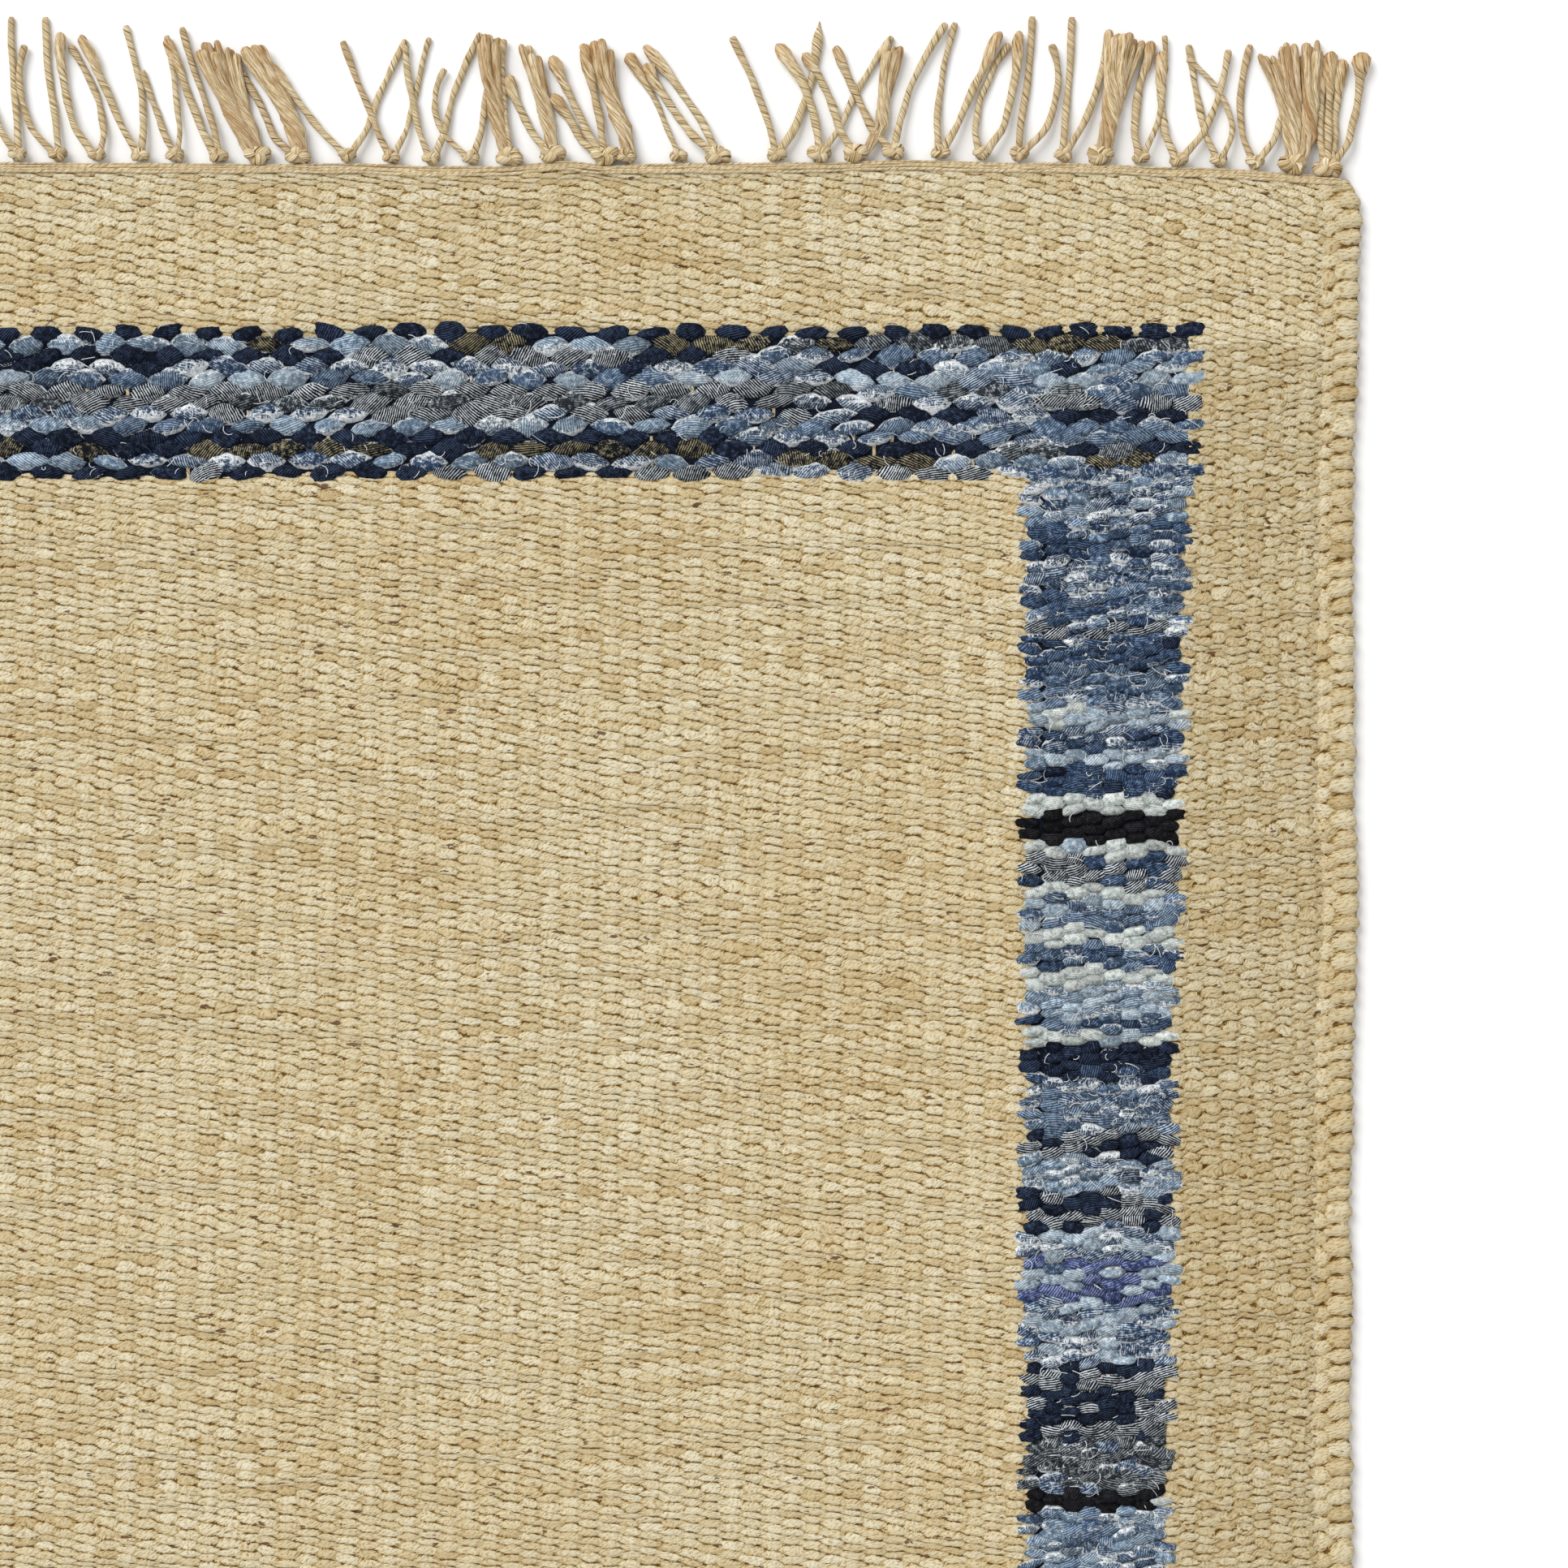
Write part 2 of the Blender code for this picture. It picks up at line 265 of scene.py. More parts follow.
END_PICKS = (
    Pick(Wash.NAVY, Wash.NAVY, 0.0, Wash.NAVY),
    Pick(Wash.LIGHT, Wash.OLIVE, 0.4, Wash.GREY),
    Pick(Wash.NAVY, Wash.STRIPED, 0.4, Wash.MID),
    Pick(Wash.MELANGE, Wash.NAVY, 0.3, Wash.LIGHT),
    Pick(Wash.MID, Wash.PALE, 0.5, Wash.MELANGE),
    Pick(Wash.STRIPED, Wash.GREY, 0.4, Wash.MID),
    Pick(Wash.GREY, Wash.STRIPED, 0.5, Wash.MELANGE),
    Pick(Wash.STRIPED, Wash.MELANGE, 0.5, Wash.NAVY),
    Pick(Wash.LIGHT, Wash.MID, 0.4, Wash.MID),
    Pick(Wash.NAVY, Wash.NAVY, 0.0, Wash.MID),
    Pick(Wash.OLIVE, Wash.NAVY, 0.4, Wash.GREY),
    Pick(Wash.MELANGE, Wash.LIGHT, 0.5, Wash.OLIVE),
    Pick(Wash.NAVY, Wash.STRIPED, 0.4, Wash.MELANGE),
)


class Stripe(NamedTuple):
    """A stripe of the side bands: its height along the warps, two washes and their mix."""

    tall: float
    main: Wash
    other: Wash
    share: float


SIDE_STRIPES = (
    Stripe(22, Wash.LIGHT, Wash.MELANGE, 0.5),
    Stripe(12, Wash.MID, Wash.DARK, 0.4),
    Stripe(7, Wash.DARK, Wash.MID, 0.4),
    Stripe(18, Wash.MID, Wash.MELANGE, 0.5),
    Stripe(16, Wash.MID, Wash.DARK, 0.4),
    Stripe(7, Wash.STRIPED, Wash.MELANGE, 0.5),
    Stripe(12, Wash.DARK, Wash.NAVY, 0.3),
    Stripe(7, Wash.DARK, Wash.MID, 0.5),
    Stripe(16, Wash.MID, Wash.MELANGE, 0.3),
    Stripe(9, Wash.PALE, Wash.WHITE, 0.3),
    Stripe(13, Wash.DARK, Wash.MELANGE, 0.5),
    Stripe(8, Wash.PALE, Wash.LIGHT, 0.4),
    Stripe(14, Wash.DARK, Wash.NAVY, 0.3),
    Stripe(8, Wash.WHITE, Wash.WHITE, 0.0),
    Stripe(15, Wash.BLACK, Wash.BLACK, 0.0),
    Stripe(7, Wash.WHITE, Wash.PALE, 0.3),
    Stripe(16, Wash.STRIPED, Wash.DARK, 0.4),
    Stripe(5, Wash.WHITE, Wash.WHITE, 0.0),
    Stripe(15, Wash.MID, Wash.PALE, 0.5),
    Stripe(8, Wash.WHITE, Wash.WHITE, 0.0),
    Stripe(13, Wash.MID, Wash.DARK, 0.4),
    Stripe(8, Wash.WHITE, Wash.WHITE, 0.0),
    Stripe(16, Wash.LIGHT, Wash.PALE, 0.5),
    Stripe(6, Wash.DARK, Wash.MID, 0.3),
    Stripe(8, Wash.WHITE, Wash.PALE, 0.2),
    Stripe(17, Wash.NAVY, Wash.DARK, 0.4),
    Stripe(27, Wash.MID, Wash.MELANGE, 0.5),
    Stripe(12, Wash.NAVY, Wash.STRIPED, 0.5),
    Stripe(18, Wash.LIGHT, Wash.MELANGE, 0.3),
    Stripe(17, Wash.STRIPED, Wash.NAVY, 0.5),
    Stripe(16, Wash.PALE, Wash.MELANGE, 0.5),
    Stripe(6, Wash.VIOLET, Wash.MID, 0.3),
    Stripe(10, Wash.PALE, Wash.VIOLET, 0.3),
    Stripe(6, Wash.VIOLET, Wash.VIOLET, 0.0),
    Stripe(30, Wash.MELANGE, Wash.PALE, 0.4),
    Stripe(39, Wash.NAVY, Wash.STRIPED, 0.4),
    Stripe(24, Wash.GREY, Wash.MELANGE, 0.4),
    Stripe(10, Wash.BLACK, Wash.WHITE, 0.3),
    Stripe(30, Wash.MID, Wash.LIGHT, 0.5),
)


# Small tools


def linear(colour: str) -> tuple[float, float, float, float]:
    """Turns an sRGB hex colour into linear light.

    Args:
        colour: The colour, such as "#C8AA7A".

    Returns:
        Red, green, blue and an alpha of one.
    """
    parts = [int(colour[i : i + 2], 16) / 255 for i in (1, 3, 5)]
    light = [p / 12.92 if p <= 0.04045 else ((p + 0.055) / 1.055) ** 2.4 for p in parts]
    return (light[0], light[1], light[2], 1.0)


def lattice(a: np.ndarray, b: np.ndarray, seed: float) -> np.ndarray:
    """Smooth noise: a random number at each whole-number place, joined by smooth steps.

    Args:
        a: First coordinates.
        b: Second coordinates.
        seed: Picks one noise among many.

    Returns:
        Values from -1 to 1.
    """
    low_a, low_b = np.floor(a), np.floor(b)
    part_a, part_b = a - low_a, b - low_b
    mix_a = part_a * part_a * (3 - 2 * part_a)
    mix_b = part_b * part_b * (3 - 2 * part_b)

    def number(i: np.ndarray, j: np.ndarray) -> np.ndarray:
        """The random number at a whole-number place."""
        wave = np.sin(i * 127.1 + j * 311.7 + seed * 74.7) * 43758.5453
        return 2 * (wave - np.floor(wave)) - 1

    near = number(low_a, low_b) * (1 - mix_a) + number(low_a + 1, low_b) * mix_a
    far = number(low_a, low_b + 1) * (1 - mix_a) + number(low_a + 1, low_b + 1) * mix_a
    return near * (1 - mix_b) + far * mix_b


def smooth(low: float, high: float, value: np.ndarray) -> np.ndarray:
    """A smooth step: nought below low, one above high."""
    share = np.clip((value - low) / (high - low), 0, 1)
    return share * share * (3 - 2 * share)


def grid_quads(rows: int, columns: int) -> np.ndarray:
    """The faces of a grid of points that is stored row by row.

    Args:
        rows: How many rows of points there are.
        columns: How many points a row has.

    Returns:
        One row of four point numbers for each face.
    """
    first = (np.arange(rows - 1)[:, None] * columns + np.arange(columns - 1)).ravel()
    return np.stack([first, first + 1, first + columns + 1, first + columns], axis=1)


def many_grids(count: int, rows: int, columns: int) -> np.ndarray:
    """The faces of many equal grids, stored one after the other."""
    starts = np.arange(count) * rows * columns
    return (grid_quads(rows, columns)[None] + starts[:, None, None]).reshape(-1, 4)


class Look(NamedTuple):
    """What a mesh carries for its material, at each point."""

    uv_name: str = ""
    uv: np.ndarray | None = None
    colours: dict[str, np.ndarray] = {}
    values: dict[str, np.ndarray] = {}


def add_piece(
    name: str, points: np.ndarray, faces: np.ndarray, material: Material, look: Look, slot: str
) -> Piece:
    """Makes a smooth mesh piece that rides on the rug's one body.

    Args:
        name: The piece's name.
        points: Its points, in metres, one row each.
        faces: Four point numbers for each face.
        material: Its material.
        look: Its UV map and attributes.
        slot: A material slot's name. Not used.

    Returns:
        The new object, at the origin.
    """
    mesh = bpy.data.meshes.new(name)
    mesh.from_pydata(points.reshape(-1, 3).tolist(), [], faces.tolist())
    mesh.polygons.foreach_set("use_smooth", np.ones(len(mesh.polygons), bool))
    if look.uv is not None:
        corners = np.empty(len(mesh.loops), np.int32)
        mesh.loops.foreach_get("vertex_index", corners)
        layer = mesh.uv_layers.new(name=look.uv_name)
        layer.uv.foreach_set("vector", look.uv.reshape(-1, 2)[corners].ravel())
    for title, values in look.colours.items():
        made = mesh.attributes.new(title, "FLOAT_COLOR", "POINT")
        made.data.foreach_set("color", values.reshape(-1, 4).astype(np.float32).ravel())
    for title, values in look.values.items():
        made = mesh.attributes.new(title, "FLOAT", "POINT")
        made.data.foreach_set("value", values.astype(np.float32).ravel())
    mesh.materials.append(material)
    mesh.update()
    piece = bpy.data.objects.new(name, mesh)
    bpy.context.scene.collection.objects.link(piece)
    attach(piece, ROOT)
    log.info("%s: %d faces", name, len(mesh.polygons))
    return piece


# Finishes

# Kinds of node, and the sockets of a mix of colours and of a mix of vectors
MATH = "ShaderNodeMath"
VECTOR = "ShaderNodeVectorMath"
MIX = "ShaderNodeMix"
RAMP = "ShaderNodeValToRGB"
NOISE = "ShaderNodeTexNoise"
RANGE = "ShaderNodeMapRange"
ATTRIBUTE = "ShaderNodeAttribute"
SPLIT = "ShaderNodeSeparateXYZ"
JOIN = "ShaderNodeCombineXYZ"
BUMP = "ShaderNodeBump"
COLOUR_A, COLOUR_B, COLOUR_OUT = 6, 7, 2
VECTOR_A, VECTOR_B, VECTOR_OUT = 4, 5, 1

# Settings that many nodes share
ADD = {"operation": "ADD"}
SUBTRACT = {"operation": "SUBTRACT"}
MULTIPLY = {"operation": "MULTIPLY"}
MULTIPLY_ADD = {"operation": "MULTIPLY_ADD"}
WRAP = {"operation": "WRAP"}
FLAT = {"noise_dimensions": "2D"}
BLEND = {"data_type": "RGBA"}
TINT = {"data_type": "RGBA", "blend_type": "MULTIPLY"}


class Step(NamedTuple):
    """One node: what its result is called, its kind, inputs, settings and which output."""

    name: str
    kind: str
    inputs: dict[int | str, Any] = {}
    settings: dict[str, Any] = {}
    output: int | str = 0


def add_node(tree: bpy.types.NodeTree, step: Step, known: Sockets) -> bpy.types.Node:
    """Adds a node with its settings and links.

    Args:
        tree: The material's nodes.
        step: The node. An input that names an earlier step is linked to its result.
        known: The results so far, by name. The new one is added.

    Returns:
        The new node.
    """
    made = tree.nodes.new(step.kind)
    for name, value in step.settings.items():
        if name == "stops":
            ramp = made.color_ramp.elements
            for _ in value[2:]:
                ramp.new(0.5)
            for stop, (place, colour) in zip(ramp, value):
                stop.position = place
                stop.color = linear(colour)
        else:
            setattr(made, name, value)
    for key, value in step.inputs.items():
        if isinstance(value, str) and value in known:
            tree.links.new(known[value], made.inputs[key])
        elif isinstance(value, str):
            made.inputs[key].default_value = linear(value)
        else:
            made.inputs[key].default_value = value
    known[step.name] = made.outputs[step.output]
    return made


def per_metre(sizes: Sizes) -> Sizes:
    """How many of a pattern's marks there are in a metre, from their sizes in mm."""
    return tuple(1000 / size for size in sizes)


class Layer(NamedTuple):
    """A tone laid over a colour: the step that drives it, how strong it is, and its ramp."""

    source: str
    share: float
    stops: tuple[tuple[float, str], ...]


def toned(base: str, *layers: Layer) -> tuple[Step, ...]:
    """The steps that multiply a colour by ramps, one after the other.

    Args:
        base: The colour's step.
        *layers: The ramps, in order.

    Returns:
        Two steps a layer. The colour's name is the last layer's source and "_toned".
    """
    steps = []
    for source, share, stops in layers:
        steps.append(Step(f"{source}_tone", RAMP, {0: source}, {"stops": stops}))
        inputs = {0: share, COLOUR_A: base, COLOUR_B: f"{source}_tone"}
        base = f"{source}_toned"
        steps.append(Step(base, MIX, inputs, TINT, COLOUR_OUT))
    return tuple(steps)


def make_material(name: str, steps: tuple[Step, ...], surface: dict[str, Any]) -> Material:
    """Makes a material from its steps.

    Args:
        name: The material's name.
        steps: The nodes, in order.
        surface: What goes into the Principled shader: numbers, or the names of steps.

    Returns:
        The material.
    """
    material = bpy.data.materials.new(name)
    material.use_nodes = True
    tree = material.node_tree
    shader = tree.nodes["Principled BSDF"]
    known: Sockets = {}
    for step in steps:
        add_node(tree, step, known)
    for socket, value in surface.items():
        if isinstance(value, str):
            tree.links.new(known[value], shader.inputs[socket])
        else:
            shader.inputs[socket].default_value = value
    return material


@dataclass(frozen=True)
class JuteWeaveFinish:
    """Hand-spun jute single yarn, woven weft-faced: matt, straw-coloured, hairy.

    Each bead is a parallelogram with rounded sides: its long axis slopes down to the right
    and its ends lean to the right. Its drop from the crest is across times p squared plus
    along times w squared, where w is the distance from the sloping axis and p the distance
    from the leaning one. Where two beads meet, the one that dropped least is seen. The
    colour darkens with the drop, down to thin brown grooves between the beads: painted shade
    in the grooves and on the beads' falling sides. The grooves are wider where a slow noise
    packs them less, with fibres at a slant on them. The fibres are drawn coarser than real
    ones, so that they show. Clouds of tone come from uneven retting, and dark flecks are bits
    of bark.
    """

    name: str = "hand_spun_jute_weave"
    across: float = 1.65
    along: float = 2.0
    slant: float = 0.48
    lean: float = 0.50
    column_mm: float = 10.15
    bead_mm: float = 4.47
    fibre_long_mm: float = 2.6
    fibre_wide_mm: float = 0.6
    twist: float = -0.62
    cloud_mm: float = 142.86
    fleck_mm: Sizes = (9.524, 3.3333, 9.524)
    jitter: Sizes = (0.40, 0.55, 0.0)
    whole: str = "#F0F0EE"
    # Colours over depth plus fibres: dark brown in the grooves up to cream on the crests is painted shade,
    # and the fibre streaks are the jute's own
    shade_and_fibre_ramp: tuple[tuple[float, str], ...] = (
        (0.13, "#745B35"),
        (0.29, "#B49C69"),
        (0.47, "#CFBE95"),
        (0.66, "#DCD2B5"),
        (1.00, "#E9E3CE"),
    )

    def family(self, name: str, shift: tuple[float, float]) -> tuple[Step, ...]:
        """The nodes of the beads of every other column.

        Args:
            name: What the family's results are called.
            shift: What is added to u and v so that a bead's middle falls on nought.

        Returns:
            The nodes, that end with the bead's coordinates and its drop.
        """
        size = (math.sqrt(self.across), math.sqrt(self.along), 0.0)
        return (
            Step(f"{name}_at", MATH, {0: "u", 1: shift[0]}, ADD),
            Step(f"{name}_u", MATH, {0: f"{name}_at", 1: 1.0, 2: -1.0}, WRAP),
            Step(f"{name}_up", MATH, {0: "v", 1: shift[1]}, ADD),
            Step(f"{name}_s", MATH, {0: f"{name}_u", 1: self.slant, 2: f"{name}_up"}, MULTIPLY_ADD),
            Step(f"{name}_w", MATH, {0: f"{name}_s", 1: 0.5, 2: -0.5}, WRAP),
            Step(f"{name}_p", MATH, {0: f"{name}_w", 1: -self.lean, 2: f"{name}_u"}, MULTIPLY_ADD),
            Step(f"{name}_shape", JOIN, {0: f"{name}_p", 1: f"{name}_w"}),
            Step(f"{name}_size", VECTOR, {0: f"{name}_shape", 1: size}, MULTIPLY),
            Step(
                f"{name}_drop",
                VECTOR,
                {0: f"{name}_size", 1: f"{name}_size"},
                {"operation": "DOT_PRODUCT"},
                "Value",
            ),
            Step(name, JOIN, {0: f"{name}_u", 1: f"{name}_w"}),
        )

    def steps(self) -> tuple[Step, ...]:
        """The nodes, in order.

        Returns:
            The nodes: the weave's coordinates, both families of beads, then tone and relief.
        """
        real = (self.column_mm, self.bead_mm, 0.0)
        fibre = (1 / self.fibre_long_mm, 1 / self.fibre_wide_mm, 1.0)
        before = (
            Step("uv", "ShaderNodeUVMap", {}, {"uv_map": "weave"}),
            Step("near_by", VECTOR, {0: "uv", 1: (1.1, 0.8, 0.0)}, MULTIPLY),
            Step("unrest", NOISE, {"Vector": "near_by", "Scale": 1.0, "Detail": 1.5}, FLAT, "Color"),
            Step("shift", VECTOR, {0: "unrest", 1: (0.5, 0.5, 0.0)}, SUBTRACT),
            Step("moved", VECTOR, {0: "shift", 1: self.jitter, 2: "uv"}, MULTIPLY_ADD),
            Step("u", SPLIT, {0: "moved"}, {}, 0),
            Step("v", SPLIT, {0: "moved"}, {}, 1),
        )
        after = (
            Step("drop", MATH, {0: "even_drop", 1: "odd_drop"}, {"operation": "MINIMUM"}),
            Step("is_even", MATH, {0: "even_drop", 1: "odd_drop"}, {"operation": "LESS_THAN"}),
            Step(
                "bead",
                MIX,
                {0: "is_even", VECTOR_A: "odd", VECTOR_B: "even"},
                {"data_type": "VECTOR"},
                VECTOR_OUT,
            ),
            Step("du", SPLIT, {0: "bead"}, {}, 0),
            Step("tilted_v", MATH, {0: "du", 1: self.slant, 2: "v"}, MULTIPLY_ADD),
            Step("tilted", JOIN, {0: "u", 1: "tilted_v"}),
            Step("middle", VECTOR, {0: "tilted", 1: "bead"}, SUBTRACT),
            Step("middle_up", VECTOR, {0: "middle", 1: (0.25, 0.25, 0.0)}, ADD),
            Step("bead_id", VECTOR, {0: "middle_up", 1: (0.5, 0.5, 0.5)}, {"operation": "SNAP"}),
            Step("chance", "ShaderNodeTexWhiteNoise", {0: "bead_id"}, {}, "Value"),
            Step("real", VECTOR, {0: "bead", 1: real}, MULTIPLY),
            Step("turned", "ShaderNodeMapping", {"Vector": "real", "Rotation": (0.0, 0.0, self.twist)}),
            Step("drawn", VECTOR, {0: "turned", 1: fibre}, MULTIPLY),
            Step("apart", VECTOR, {0: "bead_id", 1: (1.7, 2.3, 0.0), 2: "drawn"}, MULTIPLY_ADD),
            Step(
                "fibres",
                NOISE,
                {"Vector": "apart", "Scale": 1.0, "Detail": 2.0, "Roughness": 0.7},
                FLAT,
            ),
            Step("yarn_place", VECTOR, {0: "bead_id", 1: (0.10, 1.9, 0.0)}, MULTIPLY),
            Step("yarn", NOISE, {"Vector": "yarn_place", "Scale": 1.0, "Detail": 2.0}, FLAT),
            Step("place", "ShaderNodeTexCoord", {}, {}, "Object"),
            Step("cloud", NOISE, {"Vector": "place", "Scale": 1000 / self.cloud_mm, "Detail": 4.0}),
            Step("fleck_place", VECTOR, {0: "place", 1: per_metre(self.fleck_mm)}, MULTIPLY),
            Step(
                "flecks",
                NOISE,
                {"Vector": "fleck_place", "Scale": 1.0, "Detail": 3.0, "Roughness": 0.6},
            ),
            Step("packed_at", VECTOR, {0: "uv", 1: (0.9, 2.1, 0.0)}, MULTIPLY),
            Step("packed", NOISE, {"Vector": "packed_at", "Scale": 1.0, "Detail": 1.0}, FLAT),
            Step("gap", MATH, {0: "packed", 1: 1.1, 2: 0.4}, MULTIPLY_ADD),
            Step("gaping", MATH, {0: "drop", 1: "gap"}, MULTIPLY),
            Step("steep", MATH, {0: "gaping", 1: 1.7}, {"operation": "POWER"}),
            Step("height", MATH, {0: "steep", 1: -1.6, 2: 1.0}, MULTIPLY_ADD),
            Step("hair", MATH, {0: "fibres", 1: 1.7, 2: -0.87}, MULTIPLY_ADD),
            Step("shade", MATH, {0: "height", 1: "hair"}, ADD),
            # The ramp darkens the colour with the drop: painted shade in the grooves and on the beads'
            # falling sides
            Step("tone", RAMP, {0: "shade"}, {"stops": self.shade_and_fibre_ramp}),
            *toned(
                "tone",
                Layer("yarn", 0.6, ((0.30, "#E0CCA4"), (0.5, "#FAF6EC"), (0.68, "#FFFFFF"))),
                Layer("chance", 0.55, ((0.0, "#E6DCC6"), (0.4, "#FAF8F2"), (1.0, "#FFFFFF"))),
                Layer("cloud", 0.5, ((0.35, "#F4EBDA"), (0.6, "#FFFFFF"))),
                Layer("fibres", 0.6, ((0.34, "#C2A06A"), (0.45, "#F0E4CB"), (0.54, "#FFFFFF"))),
            ),
            Step("tinted", MIX, {0: 1.0, COLOUR_A: "fibres_toned", COLOUR_B: self.whole}, TINT, COLOUR_OUT),
            Step("fleck", RAMP, {0: "flecks"}, {"stops": ((0.667, "#000000"), (0.69, "#F0F0F0"))}),
            Step(
                "flecked",
                MIX,
                {0: "fleck", COLOUR_A: "tinted", COLOUR_B: "#55301A"},
                BLEND,
                COLOUR_OUT,
            ),
            Step("relief", MATH, {0: "fibres", 1: 0.45, 2: "height"}, MULTIPLY_ADD),
            Step("normal", BUMP, {"Height": "relief", "Strength": 0.8, "Distance": 1.2 * MM}),
        )
        even = self.family("even", (-0.5, -0.5))
        odd = self.family("odd", (0.5, 0.0))
        return (*before, *even, *odd, *after)

    def build(self) -> Material:
        """Makes the material.

        Returns:
            The material.
        """
        return make_material(
            self.name,
            self.steps(),
            {"Base Color": "flecked", "Normal": "normal", "Roughness": 0.95, "Specular IOR Level": 0.15},
        )


@dataclass(frozen=True)
class JuteCordFinish:
    """Two-ply jute cord: a thin spiral groove between its plies, and fibres along them.

    Where it has come loose, pale and brown fibres lie side by side like combed hair, in
    locks of one tone. Fibres and locks are drawn as coarse as they need to show. Where it is
    tight, the colour darkens in the spiral groove between the plies: painted shade.
    """

    name: str = "two_ply_jute_cord"
    fibre_mm: float = 11.111
    fibres_round: float = 16.0
    lock_mm: float = 25.0
    locks_round: float = 6.0
    # Colours over the groove and fibres: the dark brown in the ply groove is painted shade
    shade_and_fibre_ramp: tuple[tuple[float, str], ...] = (
        (0.10, "#583F20"),
        (0.30, "#A18657"),
        (0.52, "#C9B48A"),
        (0.80, "#E7DCC2"),
    )

    def build(self) -> Material:
        """Makes the material. Its UV map holds turns round the cord and mm along it.

        Returns:
            The material.
        """
        steps = (
            Step("uv", "ShaderNodeUVMap", {}, {"uv_map": "cord"}),
            Step("turn", SPLIT, {0: "uv"}, {}, 0),
            Step("cosine_in", MATH, {0: "turn", 1: 2 * math.pi}, MULTIPLY),
            Step("cosine", MATH, {0: "cosine_in"}, {"operation": "COSINE"}),
            Step("side", MATH, {0: "cosine"}, {"operation": "ABSOLUTE"}),
            # Darkens the colour along the groove between the plies as painted shade, and gives the bump its
            # groove
            Step("groove", RANGE, {"Value": "side", "From Max": 0.36, "To Min": -0.36, "To Max": 0.0}),
            Step("open", ATTRIBUTE, {}, {"attribute_name": "loose"}, "Fac"),
            Step("shut", MATH, {0: 1.0, 1: "open"}, SUBTRACT),
            Step("drawn", VECTOR, {0: "uv", 1: (self.fibres_round, 1 / self.fibre_mm, 0.0)}, MULTIPLY),
            Step(
                "fibres",
                NOISE,
                {"Vector": "drawn", "Scale": 1.0, "Detail": 3.0, "Roughness": 0.65},
                FLAT,
            ),
            Step("locks_at", VECTOR, {0: "uv", 1: (self.locks_round, 1 / self.lock_mm, 0.0)}, MULTIPLY),
            Step("locks", NOISE, {"Vector": "locks_at"}, FLAT),
            Step("own", ATTRIBUTE, {}, {"attribute_name": "tint"}, "Color"),
            Step("lit", MATH, {0: "fibres", 1: 1.7, 2: -0.27}, MULTIPLY_ADD),
            Step("shade", MATH, {0: "groove", 1: "shut", 2: "lit"}, MULTIPLY_ADD),
            Step("tone", RAMP, {0: "shade"}, {"stops": self.shade_and_fibre_ramp}),
            Step("brown_at", RANGE, {"Value": "locks", "From Min": 0.54, "From Max": 0.78}),
            Step("brown", MATH, {0: "brown_at", 1: "open"}, MULTIPLY),
            Step("streaked", MIX, {0: "brown", COLOUR_A: "tone", COLOUR_B: "#A5764E"}, BLEND, COLOUR_OUT),
            Step("tinted", MIX, {0: 1.0, COLOUR_A: "streaked", COLOUR_B: "own"}, TINT, COLOUR_OUT),
            Step("normal", BUMP, {"Height": "shade", "Strength": 0.7, "Distance": 0.7 * MM}),
        )
        return make_material(
            self.name,
            steps,
            {"Base Color": "tinted", "Normal": "normal", "Roughness": 0.85, "Specular IOR Level": 0.2},
        )


